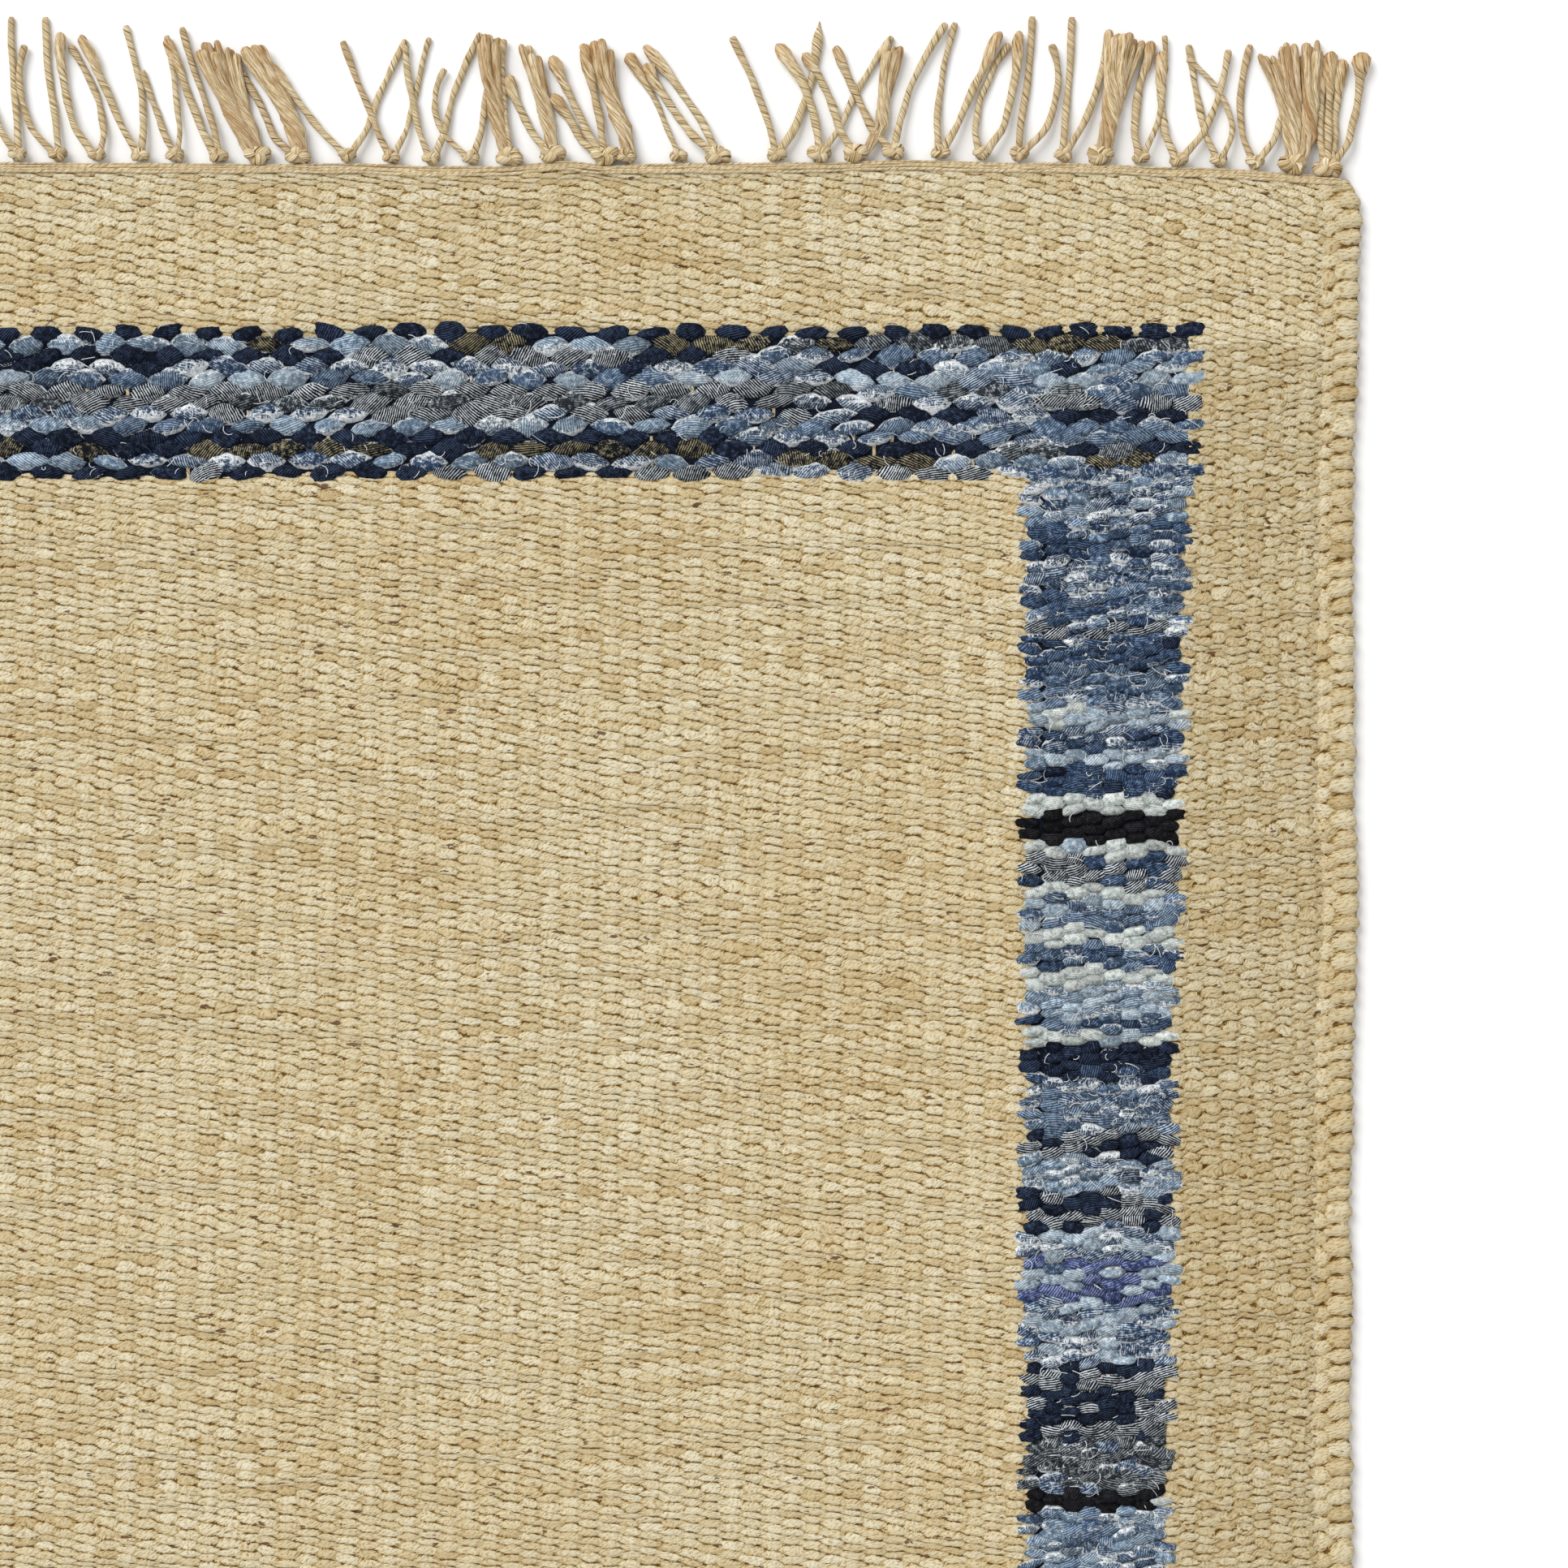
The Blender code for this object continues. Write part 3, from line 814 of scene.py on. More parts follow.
@dataclass(frozen=True)
class DenimFinish:
    """Worn cotton denim: twill lines of dyed warp over white weft, and frayed edges.

    The twill lines are 1.15 mm apart, as on real jeans cloth: thin and pale on the dye,
    crisp on some strips and worn to a mottle on others. The fray is a comb of short white
    threads that stand across the strip's edge, and curly wisps that lie along it. Both are
    drawn coarser than cotton thread, so that they show.
    """

    name: str = "washed_denim_twill"
    line_mm: float = 1.15
    bend_mm: float = 6.6667
    worn_mm: float = 2.381
    comb_mm: Sizes = (0.90909, 2.381, 1.42857)
    wisp_mm: Sizes = (4.7619, 1.38889, 2.5)

    def build(self) -> Material:
        """Makes the material. Its UV map holds mm along and across the twill lines.

        Returns:
            The material.
        """
        steps = (
            Step("uv", "ShaderNodeUVMap", {}, {"uv_map": "strip"}),
            Step("across", SPLIT, {0: "uv"}, {}, 1),
            Step("place", "ShaderNodeTexCoord", {}, {}, "Object"),
            Step("bend", NOISE, {"Vector": "place", "Scale": 1000 / self.bend_mm, "Detail": 2.0}),
            Step("wavy", MATH, {0: "bend", 1: 1.6, 2: "across"}, MULTIPLY_ADD),
            Step("phase", MATH, {0: "wavy", 1: 2 * math.pi / self.line_mm}, MULTIPLY),
            Step("wave", MATH, {0: "phase"}, {"operation": "SINE"}),
            Step(
                "worn",
                NOISE,
                {"Vector": "place", "Scale": 1000 / self.worn_mm, "Detail": 2.0, "Roughness": 0.75},
            ),
            Step("broken", MATH, {0: "worn", 1: 3.6, 2: -1.75}, MULTIPLY_ADD),
            Step("crisp", ATTRIBUTE, {}, {"attribute_name": "crisp"}, "Fac"),
            Step("patchy", MATH, {0: "wave", 1: "crisp", 2: "broken"}, MULTIPLY_ADD),
            Step("line", RANGE, {"Value": "patchy", "From Min": 0.05, "From Max": 0.8}),
            Step("face", ATTRIBUTE, {}, {"attribute_name": "face"}, "Color"),
            Step("fray", ATTRIBUTE, {}, {"attribute_name": "fray"}, "Fac"),
            Step("back", ATTRIBUTE, {}, {"attribute_name": "back"}, "Color"),
            Step("twill", MIX, {0: "line", COLOUR_A: "face", COLOUR_B: "back"}, BLEND, COLOUR_OUT),
            *toned(
                "twill",
                Layer("worn", 0.75, ((0.32, "#8C8C90"), (0.5, "#EEEEEE"), (0.66, "#FFFFFF"))),
            ),
            Step("comb_at", VECTOR, {0: "place", 1: per_metre(self.comb_mm)}, MULTIPLY),
            Step("comb", NOISE, {"Vector": "comb_at", "Scale": 1.0, "Detail": 1.0}),
            Step("wisps_at", VECTOR, {0: "place", 1: per_metre(self.wisp_mm)}, MULTIPLY),
            Step("wisps", NOISE, {"Vector": "wisps_at", "Scale": 1.0, "Detail": 1.0, "Distortion": 1.3}),
            Step("fuzz", MATH, {0: "comb", 1: "wisps"}, {"operation": "MAXIMUM"}),
            Step("lint_at", MATH, {0: "fuzz", 1: "fray"}, ADD),
            Step("lint", RANGE, {"Value": "lint_at", "From Min": 1.0, "From Max": 1.1}),
            Step(
                "lint_tone",
                RAMP,
                {0: "worn"},
                {"stops": ((0.35, "#8E979F"), (0.5, "#C9CED1"), (0.62, "#E6E8E7"))},
            ),
            Step(
                "frayed",
                MIX,
                {0: "lint", COLOUR_A: "worn_toned", COLOUR_B: "lint_tone"},
                BLEND,
                COLOUR_OUT,
            ),
            Step("relief", MATH, {0: "line", 1: 0.35, 2: "worn"}, MULTIPLY_ADD),
            Step("fuzzy", MATH, {0: "lint", 1: 0.8, 2: "relief"}, MULTIPLY_ADD),
            Step("normal", BUMP, {"Height": "fuzzy", "Strength": 0.8, "Distance": 0.6 * MM}),
        )
        return make_material(
            self.name,
            steps,
            {"Base Color": "frayed", "Normal": "normal", "Roughness": 0.95, "Specular IOR Level": 0.1},
        )


@dataclass(frozen=True)
class ThreadFinish:
    """Loose cotton threads of the frayed rags: matt, in their own colours."""

    name: str = "frayed_cotton_thread"
    mottle_mm: float = 1.66667

    def build(self) -> Material:
        """Makes the material.

        Returns:
            The material.
        """
        steps = (
            Step("own", ATTRIBUTE, {}, {"attribute_name": "tint"}, "Color"),
            Step("place", "ShaderNodeTexCoord", {}, {}, "Object"),
            Step("mottle", NOISE, {"Vector": "place", "Scale": 1000 / self.mottle_mm}),
            *toned("own", Layer("mottle", 1.0, ((0.3, "#C4C4C4"), (0.7, "#FFFFFF")))),
        )
        return make_material(self.name, steps, {"Base Color": "mottle_toned", "Roughness": 1.0})


# The weave's layout


@dataclass(frozen=True)
class WeavePlan:
    """Where each column and bead of the cloth is."""

    half_wide: float = 0.600
    half_long: float = 0.900
    field_columns: float = 43.0
    band_columns: float = 9.5
    all_columns: float = 61.5
    edge_column: float = 0.0125
    end_inset: float = 0.0010
    field_half: float = 0.4345
    field_beads: float = 166.0
    band_beads: float = 183.0
    all_beads: float = 199.5
    field_long: float = 0.742
    band_long: float = 0.818
    rim: float = 0.0041
    crest: float = 0.0082
    drop: float = 0.0021

    def edge_at(self, table: tuple[Edge, ...], half: float, place: np.ndarray) -> np.ndarray:
        """How far out an edge is at a place, read from its table, in metres.

        Args:
            table: The edge's table.
            half: How far from the rug's middle the table starts, in metres.
            place: Places along the edge, from the rug's middle, in metres.

        Returns:
            How far out the edge is there, in metres.
        """
        along = (half - place) / MM
        found = np.interp(along, [row.along for row in table], [row.out for row in table])
        return found * MM

    def selvedge(self, y: np.ndarray) -> np.ndarray:
        """The right selvedge's x at y."""
        return self.half_wide + self.edge_at(SELVEDGE, self.half_long, y)

    def far_end(self, x: np.ndarray) -> np.ndarray:
        """The far end's y at x."""
        return self.half_long + self.edge_at(FAR_END, self.half_wide, x)

    def band_outside(self, y: np.ndarray) -> np.ndarray:
        """The right side band's outer edge at y.

        Args:
            y: Places along the warps, in metres.

        Returns:
            The edge's x, in metres.
        """
        along = (self.half_long - y) / MM
        rows = [row.along for row in SIDE_BAND]
        margin = np.interp(along, rows, [row.margin for row in SIDE_BAND])
        return self.selvedge(y) - margin * MM

    def y_of(self, v: np.ndarray) -> np.ndarray:
        """The y of a bead count, before the weave's wobble.

        Args:
            v: Bead counts.

        Returns:
            Their y, in metres.
        """
        counts = [0.0, self.field_beads, self.band_beads, self.all_beads]
        last = self.half_long - self.end_inset - self.rim
        places = [0.0, self.field_long, self.band_long, last]
        return np.sign(v) * np.interp(np.abs(v), counts, places)

    def place(self, u: np.ndarray, v: np.ndarray) -> tuple[np.ndarray, np.ndarray]:
        """Where a point of the weave is on the floor.

        Columns are evenly spaced in the field, in the band, in the margin and across the
        wide edge column, of which the top holds half. Smooth noise moves rows by about
        a bead, so that yarns are thick and thin, and columns by up to two millimetres.

        Args:
            u: Column counts.
            v: Bead counts.

        Returns:
            Its x and y, in metres.
        """
        side = np.where(u < 0, -1.0, 1.0)
        end = np.where(v < 0, -1.0, 1.0)
        count = np.abs(u)
        pull = smooth(0.86, 1.0, np.abs(v) / self.all_beads)
        about_x = self.half_wide * u / self.all_columns
        y = self.y_of(v) + end * pull * (self.far_end(end * about_x) - self.half_long)
        edge = self.selvedge(side * y) - self.rim
        outside = self.band_outside(side * y)
        inner = edge - self.edge_column + self.rim
        outside_at = self.field_columns + self.band_columns
        inner_at = self.all_columns - 0.5
        x = np.where(
            count < self.field_columns,
            self.field_half * count / self.field_columns,
            self.field_half
            + (outside - self.field_half)
            * (count - self.field_columns)
            / self.band_columns,
        )
        margin = (count - outside_at) / (inner_at - outside_at)
        x = np.where(count > outside_at, outside + (inner - outside) * margin, x)
        last = (count - inner_at) / (self.all_columns - inner_at)
        x = np.where(count > inner_at, inner + (edge - inner) * last, x)
        x = x * side
        still = 1 - smooth(0.985, 1.0, count / self.all_columns)
        firm = 1 - smooth(0.99, 1.0, np.abs(v) / self.all_beads)
        bead = self.field_long / self.field_beads
        rows = 0.34 * lattice(u * 0.13, v * 0.42, 1) + 0.6 * lattice(u * 0.05, v * 0.06, 2)
        rows = rows + 0.24 * lattice(u * 0.37, v * 0.75, 4)
        y = y + firm * bead * rows
        x = x + still * 0.8 * MM * lattice(u * 0.7, v * 0.11, 3)
        x = x + still * 0.9 * MM * lattice(u * 0.9, v * 0.6, 7)
        return x, y

    def under_denim(self, u: np.ndarray, v: np.ndarray) -> np.ndarray:
        """How far a point has sunk under the denim frame, from nought to one.

        Args:
            u: Column counts.
            v: Bead counts.

        Returns:
            One under the frame, nought beside it, and a smooth step between.
        """
        across, along = np.abs(u), np.abs(v)
        inside = self.field_columns
        outside = self.field_columns + self.band_columns
        side = smooth(inside, inside + 1, across) * smooth(-outside, 1 - outside, -across)
        low, high = self.field_beads, self.band_beads
        end = smooth(low, low + 1.5, along) * smooth(-high, 1.5 - high, -along)
        return np.maximum(side * (along < high), end * (across < outside))

    def height(self, u: np.ndarray, v: np.ndarray, finish: JuteWeaveFinish) -> np.ndarray:
        """The top surface's z: crests less the bead's drop, and thick and thin yarn.

        Args:
            u: Column counts.
            v: Bead counts.
            finish: The finish that gives the bead's form.

        Returns:
            The surface's z, in metres.
        """
        drops = []
        for shift in (0.0, 1.0):
            du = np.mod(u - 0.5 + shift + 1, 2) - 1
            w = np.mod(v + finish.slant * du + 0.5 * shift, 1.0) - 0.5
            p = du - finish.lean * w
            drops.append(finish.across * p**2 + finish.along * w**2)
        drop = np.minimum(*drops)
        thick = 0.45 * lattice(u * 0.16, v * 0.8, 5) + 0.35 * lattice(u * 0.9, v * 2.0, 6)
        return self.crest - self.drop * drop + thick * MM * 0.9


@dataclass
class JutePanel:
    """A stretch of the jute ground's top face, as a grid of columns by beads."""

    plan: WeavePlan
    finish: JuteWeaveFinish
    name: str
    columns: tuple[float, float]
    beads: tuple[float, float]
    column_steps: int = 3
    bead_steps: int = 2
    loop: float = 1.0
    rim_steps: int = 4
    rim_turn: float = math.radians(165)
    sink_deep: float = 0.0036
    bulge_deep: float = 0.0028
    joint_deep: float = 0.0016
    lowest: float = 0.0003

    def stations(self, low: float, high: float, steps: int, most: float) -> tuple[np.ndarray, np.ndarray]:
        """Where a panel's points are along one way.

        Args:
            low: The first count.
            high: The last count.
            steps: How many points there are for each count.
            most: The count at which the cloth's rim begins.

        Returns:
            The points' counts, and how far round the rim each is, from -1 to 1.
        """
        count = round((high - low) * steps) + 1
        inside = np.linspace(low, high, count)
        turn = np.zeros(count)
        extra = np.arange(1, self.rim_steps + 1) / self.rim_steps
        if high >= most:
            inside = np.concatenate([inside, np.full(self.rim_steps, high)])
            turn = np.concatenate([turn, extra])
        if low <= -most:
            inside = np.concatenate([np.full(self.rim_steps, low), inside])
            turn = np.concatenate([-extra[::-1], turn])
        return inside, turn

    def build(self, material: Material) -> Piece:
        """Makes the panel.

        Its rim is part of a circle: out by the sine of the angle, down by one less its
        cosine. Under the denim it sinks by a smooth step. The faces are numbered so that
        they fold along the beads' slope. A loop is how many rows high one bead is drawn:
        the selvedges have loops. Where they join the margins, both surfaces dip.

        Args:
            material: The weave's material.

        Returns:
            The panel.
        """
        plan = self.plan
        u_line, u_turn = self.stations(*self.columns, self.column_steps, plan.all_columns)
        v_line, v_turn = self.stations(*self.beads, self.bead_steps, plan.all_beads)
        u, v = np.meshgrid(u_line, v_line)
        side, end = np.meshgrid(u_turn * self.rim_turn, v_turn * self.rim_turn)
        x, y = plan.place(u, v)
        z = plan.height(u, v / self.loop, self.finish)
        round_it = np.sqrt(np.abs(np.cos(math.pi * v / self.loop)))
        bulge = plan.rim + self.bulge_deep * (round_it - 0.75)
        bulge = bulge + 0.9 * MM * lattice(u, v * 0.8, 8)
        x = x + bulge * np.sin(side)
        y = y + plan.rim * 0.9 * np.sin(end)
        z = z - plan.rim * (2 - np.cos(side) - np.cos(end)) * z / plan.crest
        x = np.where((side == 0) | (end == 0), x, x - np.sign(side) * 1.5 * MM)
        z = z - self.sink_deep * plan.under_denim(u, v)
        joint = plan.all_columns - 1
        hidden = np.abs(u) < joint if self.loop > 1 else np.abs(u) - joint > -0.01
        z = z - self.joint_deep * hidden * (side == 0)
        z = np.maximum(z, self.lowest)
        points = np.stack([x, y, z], axis=-1)
        along = (v + v_turn[:, None]) / self.loop
        uv = np.stack([u + 0.5 * u_turn[None, :], along], axis=-1)
        faces = np.roll(grid_quads(len(v_line), len(u_line)), -1, axis=1)
        return add_piece(self.name, points, faces, material, Look("weave", uv), "jute_weave")


@dataclass
class ClothCore:
    """The body of the cloth: its flat underside, and a plain top below the weave."""

    plan: WeavePlan
    level: float = 0.0046
    bead_step: float = 16.625

    def build(self, material: Material) -> Piece:
        """Makes one closed body, flat above and below and joined at its rim.

        Args:
            material: The weave's material.

        Returns:
            The body.
        """
        plan = self.plan
        columns = round(2 * plan.all_columns) + 1
        rows = round(2 * plan.all_beads / self.bead_step) + 1
        u, v = np.meshgrid(
            np.linspace(-plan.all_columns, plan.all_columns, columns),
            np.linspace(-plan.all_beads, plan.all_beads, rows),
        )
        x, y = plan.place(u, v)
        over = np.stack([x, y, np.full_like(x, self.level)], axis=-1).reshape(-1, 3)
        under = over * np.array([1.0, 1.0, 0.0])
        count = len(over)
        faces = grid_quads(rows, columns)
        number = np.arange(count).reshape(rows, columns)
        sides = (number[0, :-1], number[:-1, -1], number[-1, :0:-1], number[:0:-1, 0])
        ring = np.concatenate(sides)
        after = np.roll(ring, -1)
        walls = np.stack([ring + count, after + count, after, ring], axis=1)
        uv = np.stack([u, v], axis=-1).reshape(-1, 2)
        return add_piece(
            "cloth_body",
            np.concatenate([over, under]),
            np.concatenate([faces, faces[:, ::-1] + count, walls]),
            material,
            Look("weave", np.concatenate([uv, uv])),
            "jute_weave",
        )


# The denim frame


@dataclass
class Floats:
    """Where the denim floats of one band are, and how each one looks, as arrays."""

    x: np.ndarray
    y: np.ndarray
    half_long: np.ndarray
    half_wide: np.ndarray
    tilt: np.ndarray
    top: np.ndarray
    face: np.ndarray
    back: np.ndarray
    fray: np.ndarray
    angle: np.ndarray
    crisp: np.ndarray

    def turned(self) -> "Floats":
        """The same floats turned half round on the rug's middle."""
        return Floats(**{**vars(self), "x": -self.x, "y": -self.y})


WASH_NUMBER = {wash: number for number, wash in enumerate(Wash)}


@dataclass
class DenimFrame:
    """The frame of denim rags: thirteen picks at each end, and two side bands."""

    plan: WeavePlan
    end_columns: int = 53
    end_pitch: float = 0.00585
    end_half_long: float = 0.0100
    end_half_wide: float = 0.0051
    side_pitch: float = 0.0058
    side_columns: int = 8
    side_places: tuple[float, float] = (43.6, 52.1)
    side_over: float = 0.003
    side_turn_rows: int = 4
    corner_from: float = 0.30
    side_half_long: float = 0.0076
    side_half_wide: float = 0.0039
    rim_level: float = 0.0049
    top_level: float = 0.0092
    shade_bed_level: float = 0.0052
    long_steps: int = 6
    wide_steps: int = 4
    rng: np.random.Generator = field(default_factory=lambda: np.random.default_rng(11))

    def end_floats(self) -> Floats:
        """The far band's floats: every other column along a pick, shifted pick by pick.

        The picks are one pitch apart, and smooth noise bends them. It also picks the
        floats of a pick's other wash, and how far the corners' wash comes in.

        Returns:
            The floats.
        """
        pieces = []
        columns = np.arange(-self.end_columns, self.end_columns)
        for row, pick in enumerate(END_PICKS):
            mine = columns[(columns + row) % 2 == 0] + 0.5
            y = np.full(len(mine), self.plan.band_long - (row + 0.5) * self.end_pitch)
            v = np.full(len(mine), self.plan.band_beads - 8.0)
            x, _ = self.plan.place(mine, v)
            other = lattice(mine * 0.35, y * 0 + row * 3.7, 21) * 0.5 + 0.5 < pick.share
            washes = np.where(other, WASH_NUMBER[pick.other], WASH_NUMBER[pick.main])
            wobble = 0.05 * lattice(mine * 0.1, y * 0 + row * 2.3, 23)
            outer = np.abs(x) > self.corner_from + wobble
            washes = np.where(outer & ~other, WASH_NUMBER[pick.outer], washes)
            pieces.append((x, y, washes, np.full(len(mine), row)))
        x, y, washes, row = (np.concatenate(part) for part in zip(*pieces))
        return self.dress(
            x,
            y + 1.3 * MM * lattice(x * 30, row * 0.7, 22),
            self.end_half_long,
            self.end_half_wide,
            washes,
            np.where(row % 2 == 0, 0.6, -0.6),
        )

    def side_floats(self) -> Floats:
        """The right band's floats, in stripes of washes that run right across it.

        Every other float of a column is left out, and the next column has those. The
        outermost ones stand in and out by four rows at a time, as the rags turn back.

        Returns:
            The floats.
        """
        reach = self.plan.field_long
        rows = np.arange(round((2 * reach + 0.004) / self.side_pitch) * 2)
        heights = np.cumsum([stripe.tall for stripe in SIDE_STRIPES]) * MM
        main = np.array([WASH_NUMBER[row.main] for row in SIDE_STRIPES])
        other = np.array([WASH_NUMBER[row.other] for row in SIDE_STRIPES])
        share = np.array([row.share for row in SIDE_STRIPES])
        pieces = []
        places = np.linspace(*self.side_places, self.side_columns)
        for column, place in enumerate(places):
            mine = rows[(rows + column) % 2 == 0]
            y = reach + self.side_over - (mine + 0.5) * self.side_pitch / 2
            centre = np.full(len(mine), place)
            v = y / reach * self.plan.field_beads
            x, _ = self.plan.place(centre, v)
            tooth = np.where((mine // self.side_turn_rows) % 2 == 0, 1.0, -1.0)
            x = x + (column == 0) * (tooth * 2.0 - 1.0) * MM
            x = x + (place == places[-1]) * (tooth * 2.0 - 2.0) * MM
            y = y + 1.1 * MM * lattice(x * 55, y * 60, 33)
            down = (reach + 0.002 - y) % heights[-1]
            stripe = np.searchsorted(heights, down + 1.5 * MM * lattice(x * 70, y * 50, 31))
            stripe = np.minimum(stripe, len(SIDE_STRIPES) - 1)
            chance = lattice(centre * 0.45 + mine * 0.9, mine * 1.7, 32) * 0.5 + 0.5
            washes = np.where(chance < share[stripe], other[stripe], main[stripe])
            pieces.append((x, y, washes))
        x, y, washes = (np.concatenate(part) for part in zip(*pieces))
        return self.dress(x, y, self.side_half_long, self.side_half_wide, washes, np.full(len(x), 0.5))

    def dress(
        self,
        x: np.ndarray,
        y: np.ndarray,
        half_long: float,
        half_wide: float,
        washes: np.ndarray,
        angle: np.ndarray,
    ) -> Floats:
        """Gives floats their small differences of size, tilt, level and colour.

        Args:
            x: Their middles' x.
            y: Their middles' y.
            half_long: Half their usual length.
            half_wide: Half their usual width.
            washes: Their washes' numbers, in the order of Wash.
            angle: The usual slant of their twill lines, in radians.

        Returns:
            The floats.
        """
        rng, count = self.rng, len(x)
        face = np.array([linear(wash.value[0]) for wash in Wash])[washes]
        back = np.array([linear(wash.value[1]) for wash in Wash])[washes]
        fray = np.array([wash.value[2] for wash in Wash])[washes]
        stiff = np.isin(washes, [WASH_NUMBER[Wash.NAVY], WASH_NUMBER[Wash.BLACK]])
        tone = rng.normal(1.0, 0.16, (count, 1)).clip(0.6, 1.5)
        face[:, :3] *= tone
        back[:, :3] *= tone
        return Floats(
            x + rng.normal(0, 0.4 * MM, count),
            y + rng.normal(0, 0.3 * MM, count),
            half_long * (1.06 - 0.12 * stiff) * rng.normal(1, 0.07, count).clip(0.8, 1.2),
            half_wide * rng.normal(1, 0.16, count).clip(0.72, 1.4),
            rng.normal(0.05, 0.12, count),
            self.top_level + rng.normal(0, 0.3 * MM, count).clip(-0.7 * MM, 0.4 * MM),
            face,
            back,
            fray * rng.uniform(0.5, 1.3, count),
            angle + rng.normal(0, 0.45, count),
            np.where(washes == WASH_NUMBER[Wash.STRIPED], 1.4, rng.uniform(0.1, 1.1, count)),
        )

    def surface(self, floats: Floats) -> tuple[np.ndarray, Look]:
        """The floats' points: each a puffed lens, with s along and t across, -1 to 1.

        Its width is the 0.65th power of one less the cube of s. Its height is the
        width's 0.6th power times half an ellipse over t. The twill lines are straight at
        a slant, plus a bow of s squared.

        Args:
            floats: The floats.

        Returns:
            The points, and what they carry for the denim's material.
        """
        s, t = np.meshgrid(
            np.linspace(-1, 1, self.long_steps),
            np.sin(np.linspace(-0.5, 0.5, self.wide_steps) * math.pi),
        )
        narrow = np.maximum(1 - np.abs(s) ** 3, 0) ** 0.65
        crown = narrow**0.6 * np.sqrt(np.maximum(1 - t**2, 0))
        s, t, narrow, crown = (part[None] for part in (s, t, narrow, crown))
        cells = [part[:, None, None] for part in vars(floats).values()]
        x, y, half_long, half_wide, tilt, top = cells[:6]
        fray, angle, crisp = cells[8:]
        along = half_long * s
        over = half_wide * narrow * t
        px = x + along
        py = y + over + along * tilt
        pz = self.rim_level + (top - self.rim_level) * crown
        count = (len(floats.x), 1, 1)
        chance = self.rng.uniform(0, 9, count)
        bow = self.rng.uniform(-2.2, 2.2, count) * s**2
        uv = np.stack(
            [
                (along * np.cos(angle) + over * np.sin(angle)) / MM + chance,
                (over * np.cos(angle) - along * np.sin(angle)) / MM + chance + bow,
            ],
            axis=-1,
        )
        upper = self.rng.choice([-1.0, 1.0], count)
        fray = fray * (0.27 + 0.6 * np.maximum(upper * t, 0) ** 2 + 0.2 * s**4)
        shape = px.shape
        colours = {
            "face": np.broadcast_to(floats.face[:, None, None, :], (*shape, 4)),
            "back": np.broadcast_to(floats.back[:, None, None, :], (*shape, 4)),
        }
        values = {"fray": fray, "crisp": np.broadcast_to(crisp, shape)}
        look = Look("strip", uv, colours, values)
        return np.stack([px, py, pz], axis=-1), look

    def build_band(self, name: str, floats: Floats, material: Material) -> Piece:
        """Makes one band of floats as one piece.

        Args:
            name: The piece's name.
            floats: Its floats.
            material: The denim's material.

        Returns:
            The piece.
        """
        points, look = self.surface(floats)
        faces = many_grids(len(floats.x), self.wide_steps, self.long_steps)
        return add_piece(name, points, faces, material, look, "denim_rag")

    def build_shade_bed(
        self, name: str, u: tuple[float, float], v: tuple[float, float], material: Material
    ) -> Piece:
        """Makes the dark rags that lie in the creases between one band's floats.

        They are one level surface, at every column and about every ninth bead, all in the
        darkest navy wash: painted shade in the creases.

        Args:
            name: The piece's name.
            u: Its first and last column.
            v: Its first and last bead.
            material: The denim's material.

        Returns:
            The piece.
        """
        across = np.linspace(*u, round(abs(u[1] - u[0])) + 1)
        along = np.linspace(*v, round(abs(v[1] - v[0]) / 9) + 1)
        x, y = self.plan.place(*np.meshgrid(across, along))
        points = np.stack([x, y, np.full_like(x, self.shade_bed_level)], axis=-1)
        # The darkest navy on face and back alike: painted shade in the creases between the floats
        dark = np.broadcast_to(np.array(linear(Wash.NAVY.value[0])), (*x.shape, 4))
        uv = np.stack([x, y], axis=-1) / MM
        values = {"fray": 0 * x + 0.2, "crisp": 0 * x}
        look = Look("strip", uv, {"face": dark, "back": dark}, values)
        faces = grid_quads(*x.shape)
        return add_piece(name, points, faces, material, look, "denim_rag")


@dataclass
class Sweep:
    """Tubes carried along paths, many at once."""

    sides: int = 6

    def angles(self) -> np.ndarray:
        """The angles round a tube, the first again at the end."""
        return np.linspace(0, 2 * math.pi, self.sides + 1)[None, None, :]

    def plies(self, radius: np.ndarray, spin: np.ndarray) -> np.ndarray:
        """Radii of a two-ply section: 0.8 plus 0.2 times the absolute cosine."""
        phase = self.angles() - spin[..., None]
        return radius[..., None] * (0.8 + 0.2 * np.abs(np.cos(phase)))

    def points(self, path: np.ndarray, size: np.ndarray, squash: float) -> np.ndarray:
        """The tubes' points: out by the radius times the cosine, and up by the sine.

        The frame follows each path with the least twist it can: at each step, the last
        way out is made square to the path again. A squash makes the section lower.

        Args:
            path: Points, shaped (tubes, steps, 3).
            size: Radii, shaped (tubes, steps, sides + 1).
            squash: How tall the section is for its width.

        Returns:
            The points, shaped (tubes, steps, sides + 1, 3).
        """
        ahead = np.gradient(path, axis=1)
        ahead /= np.linalg.norm(ahead, axis=2, keepdims=True) + 1e-12
        out = np.empty_like(path)
        guess = np.cross(ahead[:, 0], [0.0, 0.0, 1.0]) + 1e-6
        for step in range(path.shape[1]):
            tangent = ahead[:, step]
            guess = guess - tangent * np.sum(guess * tangent, axis=1, keepdims=True)
            guess = guess / (np.linalg.norm(guess, axis=1, keepdims=True) + 1e-12)
            out[:, step] = guess
        up = np.cross(out, ahead)
        angle = self.angles()
        return (
            path[:, :, None]
            + out[:, :, None] * (size * np.cos(angle))[..., None]
            + up[:, :, None] * (size * np.sin(angle))[..., None] * squash
        )


